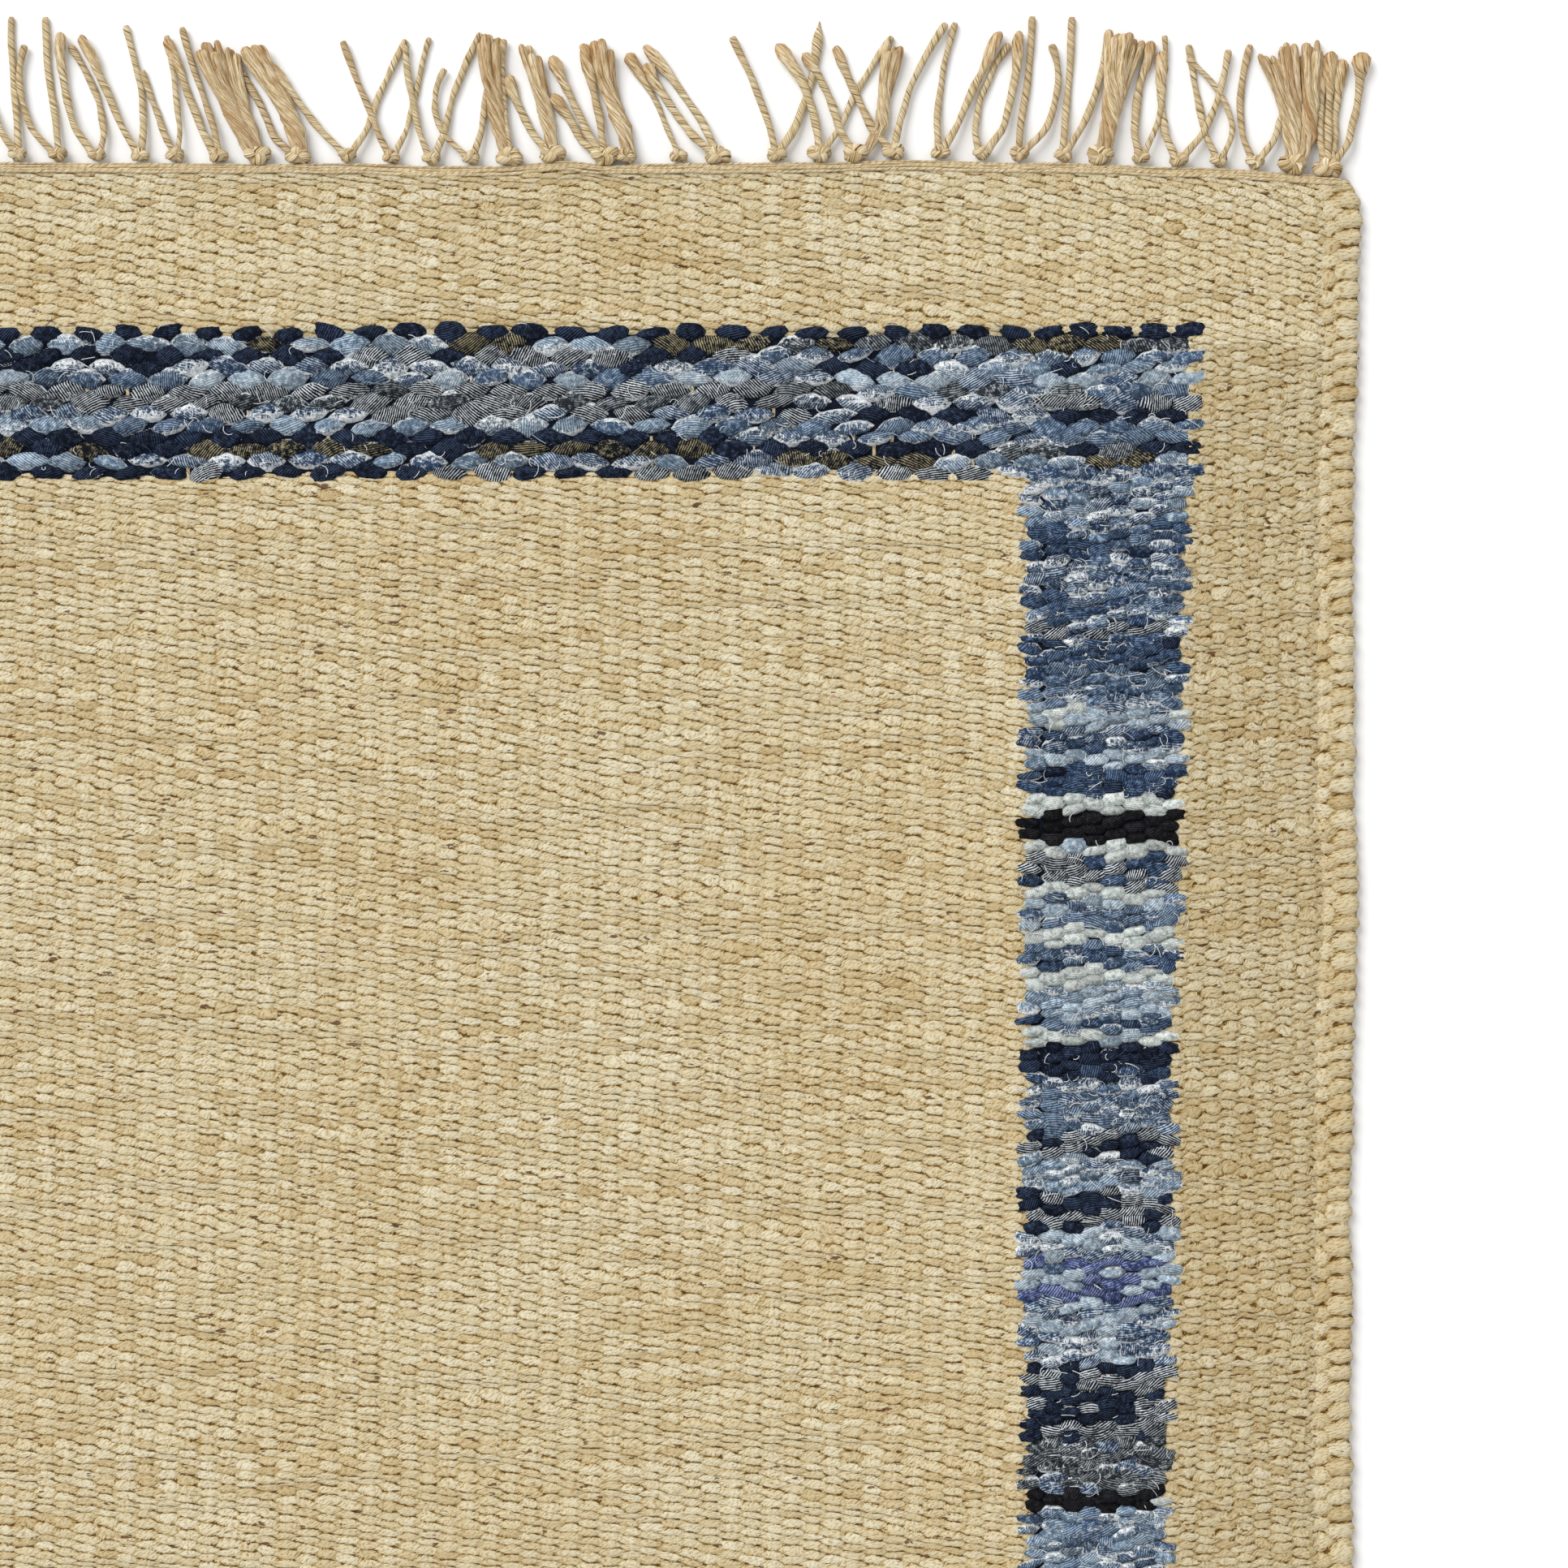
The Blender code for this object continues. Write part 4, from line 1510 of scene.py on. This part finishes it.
@dataclass
class Bundle:
    """Tubes of one kind, gathered until they are made into a piece."""

    sweep: Sweep
    points: list[np.ndarray] = field(default_factory=list)
    faces: list[np.ndarray] = field(default_factory=list)
    uv: list[np.ndarray] = field(default_factory=list)
    tint: list[np.ndarray] = field(default_factory=list)
    loose: list[np.ndarray] = field(default_factory=list)
    count: int = 0

    def add(
        self,
        path: np.ndarray,
        size: np.ndarray,
        spin: np.ndarray,
        tint: np.ndarray,
        loose: np.ndarray | None = None,
        squash: float = 1.0,
    ) -> None:
        """Adds tubes. Their UV map holds turns round the plies and mm along the path.

        Args:
            path: Points, shaped (tubes, steps, 3).
            size: Radii, shaped (tubes, steps, sides + 1).
            spin: How far the plies have turned, in radians, shaped (tubes, steps).
            tint: A colour for each step, shaped (tubes, steps, 4).
            loose: How loose the fibres are, shaped (tubes, steps). None is tight.
            squash: How tall the section is for its width.
        """
        tubes, steps, ring = size.shape
        each = (tubes, steps, ring)
        leg = np.linalg.norm(np.diff(path, axis=1, prepend=path[:, :1]), axis=2)
        turns = (self.sweep.angles() - spin[..., None]) / (2 * math.pi)
        chance = np.arange(tubes)[:, None, None] * 7.3
        along = np.broadcast_to(np.cumsum(leg, axis=1)[..., None] / MM + chance, each)
        if loose is None:
            loose = np.zeros((tubes, steps))
        self.points.append(self.sweep.points(path, size, squash).reshape(-1, 3))
        self.faces.append(many_grids(tubes, steps, ring) + self.count)
        self.uv.append(np.stack([turns, along], axis=-1).reshape(-1, 2))
        self.tint.append(np.broadcast_to(tint[:, :, None, :], (*each, 4)).reshape(-1, 4))
        self.loose.append(np.broadcast_to(loose[..., None], each).ravel())
        self.count += tubes * steps * ring

    def build(self, name: str, material: Material, slot: str, turn: bool) -> Piece:
        """Makes the piece of all its tubes.

        Args:
            name: The piece's name.
            material: Its material.
            slot: A material slot's name, passed on to add_piece.
            turn: Whether it is turned half round on the rug's middle.

        Returns:
            The piece.
        """
        points = np.concatenate(self.points)
        if turn:
            points = points * np.array([-1.0, -1.0, 1.0])
        points[:, 2] = np.maximum(points[:, 2], 0.2 * MM)
        look = Look(
            "cord",
            np.concatenate(self.uv),
            {"tint": np.concatenate(self.tint)},
            {"loose": np.concatenate(self.loose)},
        )
        return add_piece(name, points, np.concatenate(self.faces), material, look, slot)


@dataclass
class Warps:
    """The jute warps that show between the rags of an end band."""

    plan: WeavePlan
    radius: float = 0.0015
    level: float = 0.0037
    steps: int = 14
    columns: int = 52
    half_turn: float = 0.006

    def build(self, name: str, material: Material, turn: bool) -> Piece:
        """Makes one cord in each column, from the field to the margin.

        Each lies level, moved up and down by smooth noise, and sinks by a smooth step
        towards the margin.

        Args:
            name: The piece's name.
            material: The cord's material.
            turn: Whether it is the near end.

        Returns:
            The piece.
        """
        columns = np.arange(-self.columns, self.columns)[:, None] + 0.5
        v = np.linspace(self.plan.field_beads, self.plan.band_beads, self.steps)[None]
        x, y = self.plan.place(columns + 0 * v, v + 0 * columns)
        z = self.level + 1.2 * MM * lattice(columns * 1.0, v * 0.5, 61)
        z = z - 0.7 * MM * smooth(self.plan.field_beads + 5, self.plan.band_beads, v)
        path = np.stack([x, y, z], axis=-1)
        spin = (y - y[:, :1]) / self.half_turn * math.pi
        bundle = Bundle(Sweep(6))
        size = bundle.sweep.plies(np.full_like(x, self.radius), spin)
        bundle.add(path, size, spin, np.ones((*x.shape, 4)))
        return bundle.build(name, material, "jute_cord", turn)


@dataclass
class Fringe:
    """One end's heading cords, knots and loose warp ends."""

    plan: WeavePlan
    heading_rows: int = 4
    heading_radius: float = 0.00085
    heading_steps: int = 170
    heading_out: float = -0.0053
    knot_out: float = 0.0042
    knot_wide: float = 0.0025
    knot_radius: float = 0.0025
    knot_steps: int = 28
    knot_level: float = 0.0046
    knot_rise: float = 0.0015
    strand_steps: int = 20
    strand_sides: int = 8
    reach_scale: float = 1.025
    brush_locks: int = 7
    brush_steps: int = 11
    brush_ring: float = 0.78
    brush_turn: float = 4.2
    lock_radius: float = 0.42
    ply_pitch: float = 0.0088
    hidden_shift: int = 18
    rng: np.random.Generator = field(default_factory=lambda: np.random.default_rng(5))

    def strands(self) -> list[Strand]:
        """The right half's strands, and the same ones in another order on the left.

        Returns:
            A row for each loose end.
        """
        mirrored = []
        places = sorted({row.knot for row in STRANDS})
        for index, place in enumerate(places):
            source = places[(index + self.hidden_shift) % len(places)]
            for row in STRANDS:
                if row.knot == source:
                    turned = {"root": -row.root, "lean": -row.lean, "bow": -row.bow}
                    mirrored.append(row._replace(knot=-place, **turned))
        return list(STRANDS) + mirrored

    def tints(self, brown: np.ndarray) -> np.ndarray:
        """Tones of jute for each tube and step, browner where brown is nearer one.

        Args:
            brown: How brown the jute is, shaped (tubes, steps).

        Returns:
            Colours, shaped (tubes, steps, 4).
        """
        pale = np.array([1.0, 0.985, 0.95, 1.0])
        dark = np.array([0.66, 0.50, 0.37, 1.0])
        change = self.rng.normal(0, 0.10, (len(brown), 1))
        mix = np.clip(brown + change, 0, 1)[..., None]
        return pale * (1 - mix) + dark * mix

    def knots(self, bundle: Bundle, rows: list[Strand]) -> None:
        """Adds the knots: each a trefoil, drawn up into a lump and turned a little.

        The trefoil is sin t plus 2 sin 2t, cos t less 2 cos 2t, and minus sin 3t. A knot
        in thick warps is larger.

        Args:
            bundle: Where they go.
            rows: All the end's strands.
        """
        found = sorted({row.knot for row in rows})
        widths = [sum(row.wide for row in rows if row.knot == knot) for knot in found]
        places = np.array(found) * MM
        count = len(places)
        t = np.linspace(0, 2 * math.pi, self.knot_steps)[None]
        turn = self.rng.uniform(0, 2 * math.pi, (count, 1))
        large = np.clip(np.array(widths)[:, None] / 9, 0.9, 1.5)
        size = self.rng.normal(1, 0.10, (count, 1)) * large * self.knot_wide / 3
        a = (np.sin(t) + 2 * np.sin(2 * t)) * size
        b = (np.cos(t) - 2 * np.cos(2 * t)) * size
        x = places[:, None] + (a * np.cos(turn) - b * np.sin(turn)) * 1.35
        y = (a * np.sin(turn) + b * np.cos(turn)) * 0.75
        y = y + (self.plan.far_end(places) + self.knot_out)[:, None]
        z = self.knot_level - np.sin(3 * t) * self.knot_rise + 0 * turn
        lumps = lattice(t * 2.2, np.arange(count)[:, None] * 3.3, 54)
        radius = self.knot_radius * large**0.7 * (1 + 0.18 * lumps)
        spin = np.broadcast_to(t * 4, radius.shape)
        size = bundle.sweep.plies(radius, spin)
        tint = self.tints(np.full(radius.shape, 0.1) + 0.2 * lumps)
        bundle.add(np.stack([x, y, z], axis=-1), size, spin, tint)

    def heading(self, bundle: Bundle) -> None:
        """Adds the heading: fine cords that lie along the cloth's end.

        A row's number moves it out, and the number and its square bring it down, round
        the cloth's edge. Smooth noise moves each cord and makes it thick and thin.

        Args:
            bundle: Where it goes.
        """
        reach = self.plan.half_wide - 7 * MM
        x = np.linspace(-reach, reach, self.heading_steps)[None]
        row = np.arange(self.heading_rows)[:, None]
        out = self.heading_out + (row + 0.5) * 1.5 * self.heading_radius
        y = self.plan.far_end(x) + out + 0.4 * MM * lattice(x * 60, row * 5.0, 41)
        z = (7.8 - 0.2 * row - 0.28 * row**2) * MM
        z = z + 0.3 * MM * lattice(x * 90, row * 7.0, 42)
        radius = self.heading_radius * (1 + 0.2 * lattice(x * 150, row * 3.0, 43))
        spin = np.broadcast_to(x / 0.0036 * math.pi, radius.shape)
        path = np.stack([x + 0 * row, y, z], axis=-1)
        size = bundle.sweep.plies(radius, spin)
        tint = 1.12 * self.tints(np.full(radius.shape, 0.0))
        bundle.add(path, size, spin, tint)

    def measures(self, rows: list[Strand]) -> list[np.ndarray]:
        """The six measures of strands, each as a column.

        Args:
            rows: The strands.

        Returns:
            Their knots, roots, leans, reaches, bows and widths, in metres.
        """
        numbers = np.array([row[:6] for row in rows]) * MM
        numbers[:, 3] *= self.reach_scale
        return [numbers[:, i : i + 1] for i in range(6)]

    def middle(self, row: list[np.ndarray], t: np.ndarray) -> np.ndarray:
        """Where the middles of strands are across the rug.

        They part from the knot's middle to their roots in the first quarter, then lean
        evenly, with a bow to one side that is a parabola.

        Args:
            row: The strands' measures.
            t: How far along a strand, from nought at its knot to one at its end.

        Returns:
            The middles' x, in metres.
        """
        knot, root, lean, _, bow, _ = row
        x = knot + root * (0.35 + 0.65 * smooth(0.0, 0.25, t))
        return x + lean * t + bow * 4 * t * (1 - t)

    def loose_ends(self, bundle: Bundle, rows: list[Strand]) -> None:
        """Adds the warp ends.

        Each leaves its knot at mid-height and comes down by nearly half its reach, by a
        smooth step. Every other one then lies a little higher, so that crossing ones pass
        over each other. A flared one widens by a smooth step and a ball by a shorter one,
        and their ends are quarter ellipses. A section goes over from two plies to a lumpy
        lock of fibres where it is loose.

        Args:
            bundle: Where they go.
            rows: Their strands.
        """
        count = self.strand_steps
        t = np.concatenate([np.linspace(0, 0.965, count - 3), [0.985, 0.996, 1.0]])[None]
        cap = np.concatenate([np.ones(count - 3), [0.94, 0.72, 0.05]])[None]
        row = self.measures(rows)
        knot, reach, wide = row[0], row[3], row[5]
        kind = np.array([[strand.tip.name] for strand in rows])
        flared = kind == Tip.FLARED.name
        ball, point = kind == Tip.BALL.name, kind == Tip.POINT.name
        stem = np.clip(wide, 2.8 * MM, 4.3 * MM) / 2
        half = np.where(flared | ball, stem, np.maximum(wide, 3.2 * MM) / 2)
        head = np.maximum(wide * 1.1, 6.6 * MM) / 2
        globe = np.maximum(wide / 2, 1.4 * half)
        radius = half * (1 + 0.1 * smooth(0.88, 1.0, t))
        radius = np.where(flared, half + (head - half) * smooth(0.58, 0.93, t), radius)
        radius = np.where(ball, half + (globe - half) * smooth(0.78, 0.9, t), radius)
        blunt = np.sqrt(1 - np.clip((t - 0.93) / 0.075, 0, 1) ** 2)
        radius = np.where(flared | ball, radius * blunt, radius)
        leaf = 1 + 0.4 * smooth(0.6, 0.8, t) - 1.2 * smooth(0.84, 1.0, t)
        radius = np.where(point, half * leaf, radius)
        radius = radius * (1 + 0.11 * lattice(t * 9, np.arange(len(rows))[:, None], 51))
        loose = np.where(flared, smooth(0.6, 0.8, t), 0.0)
        loose = np.where(ball, smooth(0.84, 0.92, t), loose)
        start = self.plan.far_end(knot) + self.knot_out
        x = self.middle(row, t)
        x = x + 0.5 * MM * lattice(t * 6, np.arange(len(rows))[:, None] * 1.7, 53)
        y = start + (reach - self.knot_out) * t
        squash = 0.8
        level = 1.3 * MM * (np.arange(len(rows)) % 2)[:, None]
        z = radius * squash + level + 3.0 * MM * (1 - smooth(0.0, 0.45, t))
        pace = 1 - 0.85 * loose
        spin = np.cumsum(pace * np.diff(t, axis=1, prepend=0) * reach, axis=1)
        spin = spin / self.ply_pitch * 2 * math.pi
        round_it = bundle.sweep.angles() - spin[..., None]
        own = np.arange(len(rows))[:, None, None] * 3.1
        lock = lattice(1.9 * np.cos(round_it) + own, 1.9 * np.sin(round_it) + own, 52)
        mix = loose[..., None]
        size = bundle.sweep.plies(radius, spin) * (1 - mix)
        size = (size + mix * radius[..., None] * (0.95 + 0.32 * lock)) * cap[..., None]
        brown = 0.06 + 0.45 * smooth(0.75, 1.0, t) * np.maximum(loose, 0.5) + 0.08 * loose
        path = np.stack([x, y, z], axis=-1)
        bundle.add(path, size, spin, self.tints(brown), loose, squash)

    def brushes(self, bundle: Bundle, rows: list[Strand]) -> None:
        """Adds the warp ends that are untwisted all along, as bunches of thin locks.

        One lock lies in the middle of a bunch and the others on a ring round it. The ring
        opens out towards the end and makes two thirds of a turn on the way, and each lock
        has a round end at a length of its own.

        Args:
            bundle: Where they go.
            rows: Their strands.
        """
        count, locks = len(rows), self.brush_locks
        row = [column[..., None] for column in self.measures(rows)]
        knot, reach, wide = row[0], row[3], row[5]
        own = np.arange(count * locks).reshape(count, locks, 1)
        ending = self.rng.uniform(0.88, 1.01, (count, locks, 1))
        body = np.linspace(0, 0.94, self.brush_steps - 3)
        t = np.concatenate([body, [0.97, 0.99, 1.0]])[None, None] * ending
        cap = np.concatenate([[0.6], np.ones(len(body) - 1), [0.88, 0.62, 0.1]])
        half = wide / 2 * (0.72 + 0.16 * smooth(0.1, 0.4, t) + 0.4 * smooth(0.5, 1.0, t))
        ring = np.where(own % locks == 0, 0.0, self.brush_ring)
        turn = own * 2 * math.pi / (locks - 1) + self.rng.uniform(0, 6, (count, 1, 1))
        turn = turn + self.brush_turn * smooth(0.0, 0.7, t)
        radius = half * self.lock_radius * (1 + 0.24 * lattice(t * 5, own * 1.3, 55))
        radius = radius * cap * self.rng.uniform(0.8, 1.2, (count, locks, 1))
        x = self.middle(row, t)
        x = x + ring * half * np.cos(turn) + 0.5 * MM * lattice(t * 4, own * 1.7, 56)
        y = self.plan.far_end(knot) + self.knot_out * 0.75
        y = y + (reach - self.knot_out * 0.75) * t
        z = half * 0.8 + 2.6 * MM * (1 - smooth(0.0, 0.4, t))
        z = z + ring * half * np.sin(turn) * 0.6
        flat = (count * locks, self.brush_steps)
        path = np.stack([x, y + 0 * x, z], axis=-1).reshape(*flat, 3)
        spin = (turn + 0 * t).reshape(flat)
        brown = self.rng.uniform(-0.1, 0.7, (count, locks, 1)) + 0.4 * smooth(0.8, 1.0, t)
        size = np.repeat(radius.reshape(flat)[..., None], self.strand_sides + 1, axis=2)
        loose = np.ones(flat)
        bundle.add(path, size, spin, self.tints(brown.reshape(flat)), loose, 0.85)

    def build(self, name: str, material: Material, turn: bool) -> list[Piece]:
        """Makes the end's pieces.

        Args:
            name: "far" or "near".
            material: The cord's material.
            turn: Whether it is the near end.

        Returns:
            The knots with the heading, and the loose ends.
        """
        rows = self.strands()
        knots = Bundle(Sweep(7))
        self.heading(knots)
        self.knots(knots, rows)
        ends = Bundle(Sweep(self.strand_sides))
        self.loose_ends(ends, [row for row in rows if row.tip is not Tip.LOOSE])
        self.brushes(ends, [row for row in rows if row.tip is Tip.LOOSE])
        return [
            knots.build(f"knots_{name}", material, "jute_cord", turn),
            ends.build(f"loose_ends_{name}", material, "jute_cord", turn),
        ]


@dataclass
class FrayedThreads:
    """Threads that have come out of the rags' edges: thin tubes in low arcs."""

    steps: int = 5
    radius: float = 0.00022
    shortest_mm: float = 3.0
    longest_mm: float = 10.0
    pale: str = "#D9DDDF"
    pale_share: float = 0.7
    rng: np.random.Generator = field(default_factory=lambda: np.random.default_rng(29))

    def build(self, name: str, floats: Floats, count: int, material: Material) -> Piece:
        """Makes count threads that start at random floats of a band, more at frayed ones.

        A thread's bearing turns evenly, its steps are summed along it, and its height is
        half a sine.

        Args:
            name: The piece's name.
            floats: The band's floats.
            count: How many threads there are.
            material: The threads' material.

        Returns:
            The piece.
        """
        rng = self.rng
        chance = (floats.fray + 0.1) / np.sum(floats.fray + 0.1)
        at = rng.choice(len(floats.x), count, p=chance)
        side = rng.choice([-1.0, 1.0], count)
        t = np.linspace(0, 1, self.steps)[None]
        long = rng.uniform(self.shortest_mm, self.longest_mm, (count, 1)) * MM
        heading = rng.normal(0, 0.6, (count, 1)) + math.pi * (rng.random((count, 1)) < 0.5)
        bearing = heading + rng.normal(0, 1.6, (count, 1)) * t
        x0 = floats.x[at] + rng.uniform(-0.8, 0.8, count) * floats.half_long[at]
        y0 = floats.y[at] + side * floats.half_wide[at] * 0.6
        x = x0[:, None] + np.cumsum(np.cos(bearing), axis=1) * long / self.steps
        y = y0[:, None] + np.cumsum(np.sin(bearing), axis=1) * long / self.steps
        z = floats.top[at][:, None] - 0.2 * MM + 0.6 * MM * np.sin(math.pi * t)
        z = z + rng.uniform(-0.9, 0.1, (count, 1)) * MM
        bleached = (rng.random(count) < self.pale_share)[:, None]
        tint = np.where(bleached, np.array(linear(self.pale)), floats.back[at])
        bundle = Bundle(Sweep(3))
        size = np.full((count, self.steps, 4), self.radius)
        path = np.stack([x, y, z], axis=-1)
        colour = np.broadcast_to(tint[:, None, :], (count, self.steps, 4))
        bundle.add(path, size, 0 * x, colour)
        return bundle.build(name, material, "denim_rag", False)


# The stage


@dataclass(frozen=True)
class Studio:
    """A plain white floor, soft light from the upper left and a camera straight above.

    The picture is 1932 px square and shows 0.785 m of the rug, with the rug's middle line
    at x = 193 px and its far end at y = 200 px.
    """

    rug_end: float = 0.9
    rug_top: float = 0.0085
    picture_px: float = 1932.0
    shown: float = 0.7848
    middle_px: float = 193.0
    end_px: float = 200.0
    lens: float = 100.0
    sensor: float = 36.0
    sun_strength: float = 2.4
    sun_angle: float = math.radians(38)
    sun_turn: Sizes = (math.radians(-32), math.radians(-36), 0.0)
    sky: float = 0.74
    floor_size: float = 5.0

    def add(self, name: str, data: bpy.types.ID) -> Piece:
        """Puts a camera, a light or a mesh into the scene.

        Args:
            name: Its name.
            data: The camera, light or mesh.

        Returns:
            Its object.
        """
        made = bpy.data.objects.new(name, data)
        bpy.context.scene.collection.objects.link(made)
        return made

    def build(self) -> None:
        """Makes the camera, the lights and the floor."""
        scale = self.shown / self.picture_px
        middle = self.picture_px / 2
        x = (middle - self.middle_px) * scale
        y = self.rug_end - (middle - self.end_px) * scale
        camera = bpy.data.cameras.new("camera")
        camera.lens = self.lens
        camera.sensor_width = self.sensor
        camera.clip_start, camera.clip_end = 0.1, 20.0
        stand = self.add("camera", camera)
        stand.location = (x, y, self.shown * self.lens / self.sensor + self.rug_top)
        bpy.context.scene.camera = stand
        sun = bpy.data.lights.new("window_light", "SUN")
        sun.energy = self.sun_strength
        sun.angle = self.sun_angle
        self.add("window_light", sun).rotation_euler = self.sun_turn
        world = bpy.data.worlds.new("studio")
        world.use_nodes = True
        sky = world.node_tree.nodes["Background"].inputs
        sky["Color"].default_value = (1, 1, 1, 1)
        sky["Strength"].default_value = self.sky
        bpy.context.scene.world = world
        bpy.context.scene.view_settings.view_transform = "Standard"
        half = self.floor_size / 2
        corners = [(-half, -half), (half, -half), (half, half), (-half, half)]
        mesh = bpy.data.meshes.new("floor")
        mesh.from_pydata([(a, b, -0.2 * MM) for a, b in corners], [], [(0, 1, 2, 3)])
        mesh.materials.append(make_material("matt_white_paint", (), {"Base Color": (0.9, 0.9, 0.9, 1.0)}))
        self.add("floor", mesh)


@dataclass
class Rug:
    """The whole rug."""

    plan: WeavePlan = field(default_factory=WeavePlan)
    weave: JuteWeaveFinish = field(default_factory=JuteWeaveFinish)
    margin_weave: JuteWeaveFinish = JuteWeaveFinish(
        name="hand_spun_jute_margin",
        across=1.9,
        along=1.8,
        slant=0.36,
        lean=0.55,
        jitter=(0.7, 0.9, 0.0),
        whole="#E2E0DA",
    )
    selvedge_weave: JuteWeaveFinish = JuteWeaveFinish(
        name="hand_spun_jute_selvedge",
        across=1.7,
        along=2.0,
        slant=0.22,
        lean=0.50,
        bead_mm=8.94,
        jitter=(0.3, 0.5, 0.0),
        whole="#E8E6E1",
    )
    end_threads: int = 560
    side_threads: int = 1000

    def panels(self) -> list[JutePanel]:
        """The stretches of jute: two halves of the field, side margins, selvedges, ends.

        Returns:
            The panels.
        """
        plan = self.plan
        inside = plan.field_columns + 1.5
        outside = plan.field_columns + plan.band_columns - 1
        field_v = plan.field_beads + 1.5
        band_v = plan.band_beads - 1.5
        last_u, last_v = plan.all_columns, plan.all_beads
        sides = (-band_v, band_v)
        whole = (-last_v, last_v)
        near_u, under_u = last_u - 1, last_u - 1.3
        ground, margin, edge = self.weave, self.margin_weave, self.selvedge_weave
        return [
            JutePanel(plan, ground, "jute_field_far", (-inside, inside), (0, field_v)),
            JutePanel(plan, ground, "jute_field_near", (-inside, inside), (-field_v, 0)),
            JutePanel(plan, margin, "jute_side_right", (outside, near_u), sides),
            JutePanel(plan, margin, "jute_side_left", (-near_u, -outside), sides),
            JutePanel(plan, edge, "selvedge_right", (under_u, last_u), whole, 2, 3, 2.0),
            JutePanel(plan, edge, "selvedge_left", (-last_u, -under_u), whole, 2, 3, 2.0),
            JutePanel(plan, ground, "jute_end_far", (-near_u, near_u), (band_v, last_v)),
            JutePanel(plan, ground, "jute_end_near", (-near_u, near_u), (-last_v, -band_v)),
        ]

    def denim(self, finish: Material, thread: Material) -> list[Piece]:
        """Makes the four bands of the frame, their beds and their loose threads.

        Args:
            finish: The denim's material.
            thread: The threads' material.

        Returns:
            The pieces.
        """
        made = []
        frame_of_rags = DenimFrame(self.plan)
        threads = FrayedThreads()
        inside = self.plan.field_columns + 0.4
        outside = self.plan.field_columns + self.plan.band_columns - 0.4
        side_v = self.plan.field_beads + 1.0
        end_v = (self.plan.field_beads + 0.6, self.plan.band_beads - 0.6)
        bands = (
            ("end_far", "end", False, (-outside, outside), end_v),
            ("end_near", "end", True, (-outside, outside), (-end_v[1], -end_v[0])),
            ("side_right", "side", False, (inside, outside), (-side_v, side_v)),
            ("side_left", "side", True, (-outside, -inside), (-side_v, side_v)),
        )
        floats = {"end": frame_of_rags.end_floats(), "side": frame_of_rags.side_floats()}
        counts = {"end": self.end_threads, "side": self.side_threads}
        for name, kind, turn, u, v in bands:
            mine = floats[kind].turned() if turn else floats[kind]
            made.append(frame_of_rags.build_band(f"denim_{name}", mine, finish))
            made.append(frame_of_rags.build_shade_bed(f"denim_shade_bed_{name}", u, v, finish))
            made.append(threads.build(f"threads_{name}", mine, counts[kind], thread))
        return made

    def build(self) -> None:
        """Makes every piece and hides the part's cloth and fringes, which they stand for."""
        kinds = (self.weave, self.margin_weave, self.selvedge_weave)
        jute = {kind.name: kind.build() for kind in kinds}
        cord = JuteCordFinish().build()
        body = ClothCore(self.plan).build(jute[self.weave.name])
        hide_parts("rug_cloth")
        pieces = [panel.build(jute[panel.finish.name]) for panel in self.panels()]
        pieces.extend(self.denim(DenimFinish().build(), ThreadFinish().build()))
        for name, turn in (("far", False), ("near", True)):
            made = Fringe(self.plan).build(name, cord, turn)
            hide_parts(f"fringe_{name}")
            pieces.extend(made)
            pieces.append(Warps(self.plan).build(f"warps_{name}", cord, turn))


def main() -> None:
    """Builds the scene."""
    logging.basicConfig(level=logging.INFO, format="%(message)s")
    Rug().build()
    Studio().build()
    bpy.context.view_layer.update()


if __name__ == "__main__":
    main()
